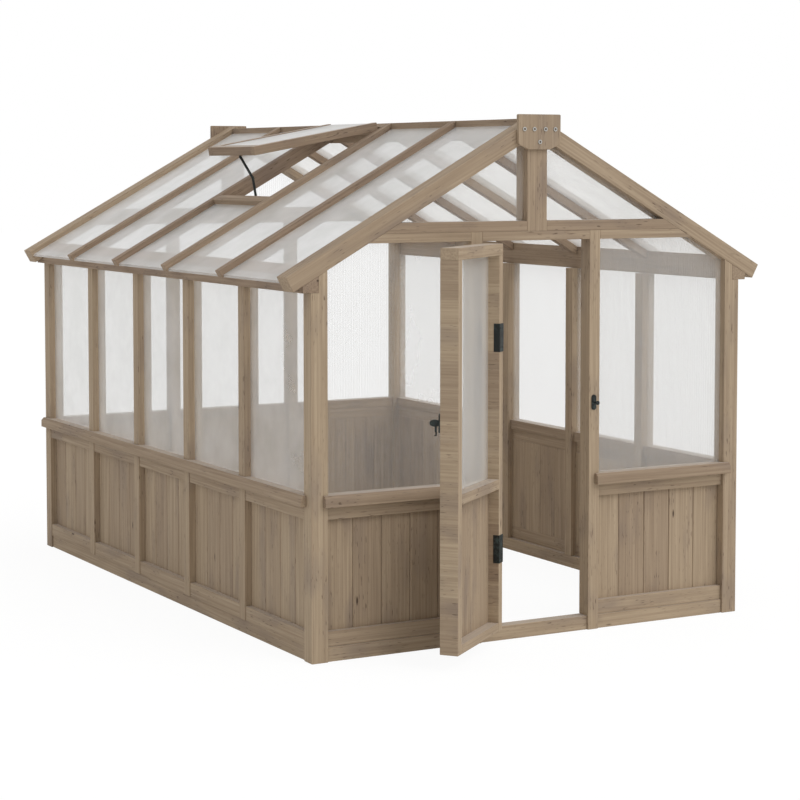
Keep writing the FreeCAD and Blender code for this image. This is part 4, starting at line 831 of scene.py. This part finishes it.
# The egg's two ends and the cut through the handle, out from the door's face, and the egg's form
EGG_NEAR = 8.6 * MM
EGG_FAR = 54.5 * MM
EGG_RADIUS = 16 * MM
EGG_LEAN = 1.1
EGG_FULL = 0.62
EGG_ROWS, EGG_AROUND = 25, 32
HANDLE_CUT = 38 * MM


def latch_grip():
    """Latch handle with an egg-shaped grip.

    The handle is the CAD one cut off short of its knob. The egg's radius is a power of the sine of a turn
    that runs from the tip to the plate, and it is fullest a little nearer the plate than its middle.
    """
    mesh = bpy.data.meshes.new("latch_grip")
    shape = bmesh.new()
    shape.from_mesh(frame["nodes"]["latch_handle"].data)
    bmesh.ops.remove_doubles(shape, verts=shape.verts, dist=0.005 * MM)
    cut = bmesh.ops.bisect_plane(
        shape, geom=shape.verts[:] + shape.edges[:] + shape.faces[:], dist=0.001 * MM,
        plane_co=LATCH_AT + HANDLE_CUT * LATCH_OUT, plane_no=LATCH_OUT, clear_outer=True)
    rim = [item for item in cut["geom_cut"] if isinstance(item, bmesh.types.BMEdge)]
    bmesh.ops.holes_fill(shape, edges=rim)
    turn = np.linspace(0, 1, EGG_ROWS)
    radii = EGG_RADIUS * np.sin(math.pi * turn ** EGG_LEAN) ** EGG_FULL
    radii[[0, -1]] = 0
    outward = EGG_NEAR + (EGG_FAR - EGG_NEAR) * (1 - np.cos(math.pi * turn)) / 2
    heights = np.repeat(outward[::-1, None], EGG_AROUND, axis=1)
    egg = turned("egg", radii, heights, LATCH_AT[None], LATCH_OUT[None])
    shape.from_mesh(egg)
    shape.to_mesh(mesh)
    shape.free()
    bpy.data.meshes.remove(egg)
    return mesh


class GREENHOUSE_OT_stage(bpy.types.Operator):
    """White floor and surround, soft key light, camera"""
    bl_idname = "greenhouse.stage"
    bl_label = "Stage"

    def execute(self, context):
        settings = context.scene.greenhouse_stage
        make_floor(settings)
        make_sky(settings)
        make_key(settings)
        make_camera(settings)
        context.scene.view_settings.view_transform = "Standard"
        return {"FINISHED"}


def seen(tree):
    """1 for rays that carry a picture: from the camera, a mirror or clear glass."""
    path = add(tree, "ShaderNodeLightPath").outputs
    glossy = add(tree, "ShaderNodeMath", {"operation": "MAXIMUM"},
                 {0: path["Is Glossy Ray"], 1: path["Is Transmission Ray"]})
    return add(tree, "ShaderNodeMath", {"operation": "MAXIMUM"},
               {0: path["Is Camera Ray"], 1: glossy.outputs[0]}).outputs[0]


# Half the floor's width in metres, the share of the floor that shows as glowing paper, and that glow's level
FLOOR_HALF = 60.0
FLOOR_GLOW = 0.9
FLOOR_WHITE = 1.03


def make_floor(settings):
    """A wide plane under the sills. It shows as white paper that keeps a faint shadow."""
    half = FLOOR_HALF
    mesh = bpy.data.meshes.new("studio_floor")
    corners = [(-half, -half, 0), (half, -half, 0), (half, half, 0), (-half, half, 0)]
    mesh.from_pydata(corners, [], [(0, 1, 2, 3)])
    floor = bpy.data.objects.new("studio_floor", mesh)
    bpy.context.scene.collection.objects.link(floor)
    material, tree = new_material("white paper sweep")
    paper = add(tree, "ShaderNodeBsdfDiffuse", {"Color": linear(settings.floor)})
    glow = add(tree, "ShaderNodeEmission", {"Color": (1, 1, 1, 1), "Strength": FLOOR_WHITE})
    share = add(tree, "ShaderNodeMath", {"operation": "MULTIPLY", 1: FLOOR_GLOW}, {0: seen(tree)})
    mixed = add(tree, "ShaderNodeMixShader",
                links={0: share.outputs[0], 1: paper.outputs[0], 2: glow.outputs[0]})
    add(tree, "ShaderNodeOutputMaterial", links={"Surface": mixed.outputs[0]})
    mesh.materials.append(material)


def make_sky(settings):
    """An even white surround, dimmer as a light than as a background."""
    world = bpy.data.worlds.new("white surround")
    world.use_nodes = True
    tree = world.node_tree
    tree.nodes.clear()
    level = add(tree, "ShaderNodeMapRange", {"To Min": settings.sky, "To Max": 1.0}, {"Value": seen(tree)})
    glow = add(tree, "ShaderNodeBackground", {"Color": (1, 1, 1, 1)}, {"Strength": level.outputs[0]})
    add(tree, "ShaderNodeOutputWorld", links={"Surface": glow.outputs[0]})
    bpy.context.scene.world = world


# Where the key light comes from, and how broad it is
KEY_FROM = Vector((0.38, -0.62, 0.69))
KEY_SPREAD = math.radians(50)


def make_key(settings):
    """A very broad key from the front right, above."""
    lamp = bpy.data.lights.new("soft_key", "SUN")
    lamp.energy = settings.sun
    lamp.angle = KEY_SPREAD
    key = bpy.data.objects.new("soft_key", lamp)
    key.rotation_euler = KEY_FROM.to_track_quat("Z", "Y").to_euler()
    bpy.context.scene.collection.objects.link(key)


# Width of the picture in pixels and of the sensor in millimetres
FRAME_PIXELS = 800
SENSOR = 36.0


def make_camera(settings):
    """Camera level in roll, turned by yaw and tilted by pitch, with the photograph's long lens."""
    lens = bpy.data.cameras.new("photo_camera")
    lens.sensor_width = SENSOR
    lens.lens = settings.focal * SENSOR / FRAME_PIXELS
    lens.shift_y = settings.shift
    camera = bpy.data.objects.new("photo_camera", lens)
    camera.location = settings.eye
    camera.rotation_euler = (math.pi / 2 + settings.pitch, 0.0, -settings.yaw)
    bpy.context.scene.collection.objects.link(camera)
    bpy.context.scene.camera = camera


OPERATORS = (
    GREENHOUSE_OT_frame_timbers,
    GREENHOUSE_OT_dado,
    GREENHOUSE_OT_door_timbers,
    GREENHOUSE_OT_vent_timbers,
    GREENHOUSE_OT_sheets,
    GREENHOUSE_OT_bolts,
    GREENHOUSE_OT_ironwork,
    GREENHOUSE_OT_stage,
)


class GREENHOUSE_PT_panel(bpy.types.Panel):
    """One button for each group of pieces"""
    bl_label = "Greenhouse"
    bl_idname = "GREENHOUSE_PT_panel"
    bl_space_type = "VIEW_3D"
    bl_region_type = "UI"
    bl_category = "Greenhouse"

    def draw(self, context):
        for operator in OPERATORS:
            self.layout.operator(operator.bl_idname)


SETTINGS = {
    "greenhouse_timber": TimberSettings,
    "greenhouse_sheet": SheetSettings,
    "greenhouse_iron": IronSettings,
    "greenhouse_stage": StageSettings,
}


def register():
    for kind in (*SETTINGS.values(), *OPERATORS, GREENHOUSE_PT_panel):
        bpy.utils.register_class(kind)
    for name, kind in SETTINGS.items():
        setattr(bpy.types.Scene, name, PointerProperty(type=kind))


def unregister():
    for name in SETTINGS:
        delattr(bpy.types.Scene, name)
    for kind in (GREENHOUSE_PT_panel, *reversed(OPERATORS), *SETTINGS.values()):
        bpy.utils.unregister_class(kind)


def main():
    register()
    for operator in OPERATORS:
        group, call = operator.bl_idname.split(".")
        getattr(getattr(bpy.ops, group), call)()


if __name__ == "__main__":
    main()
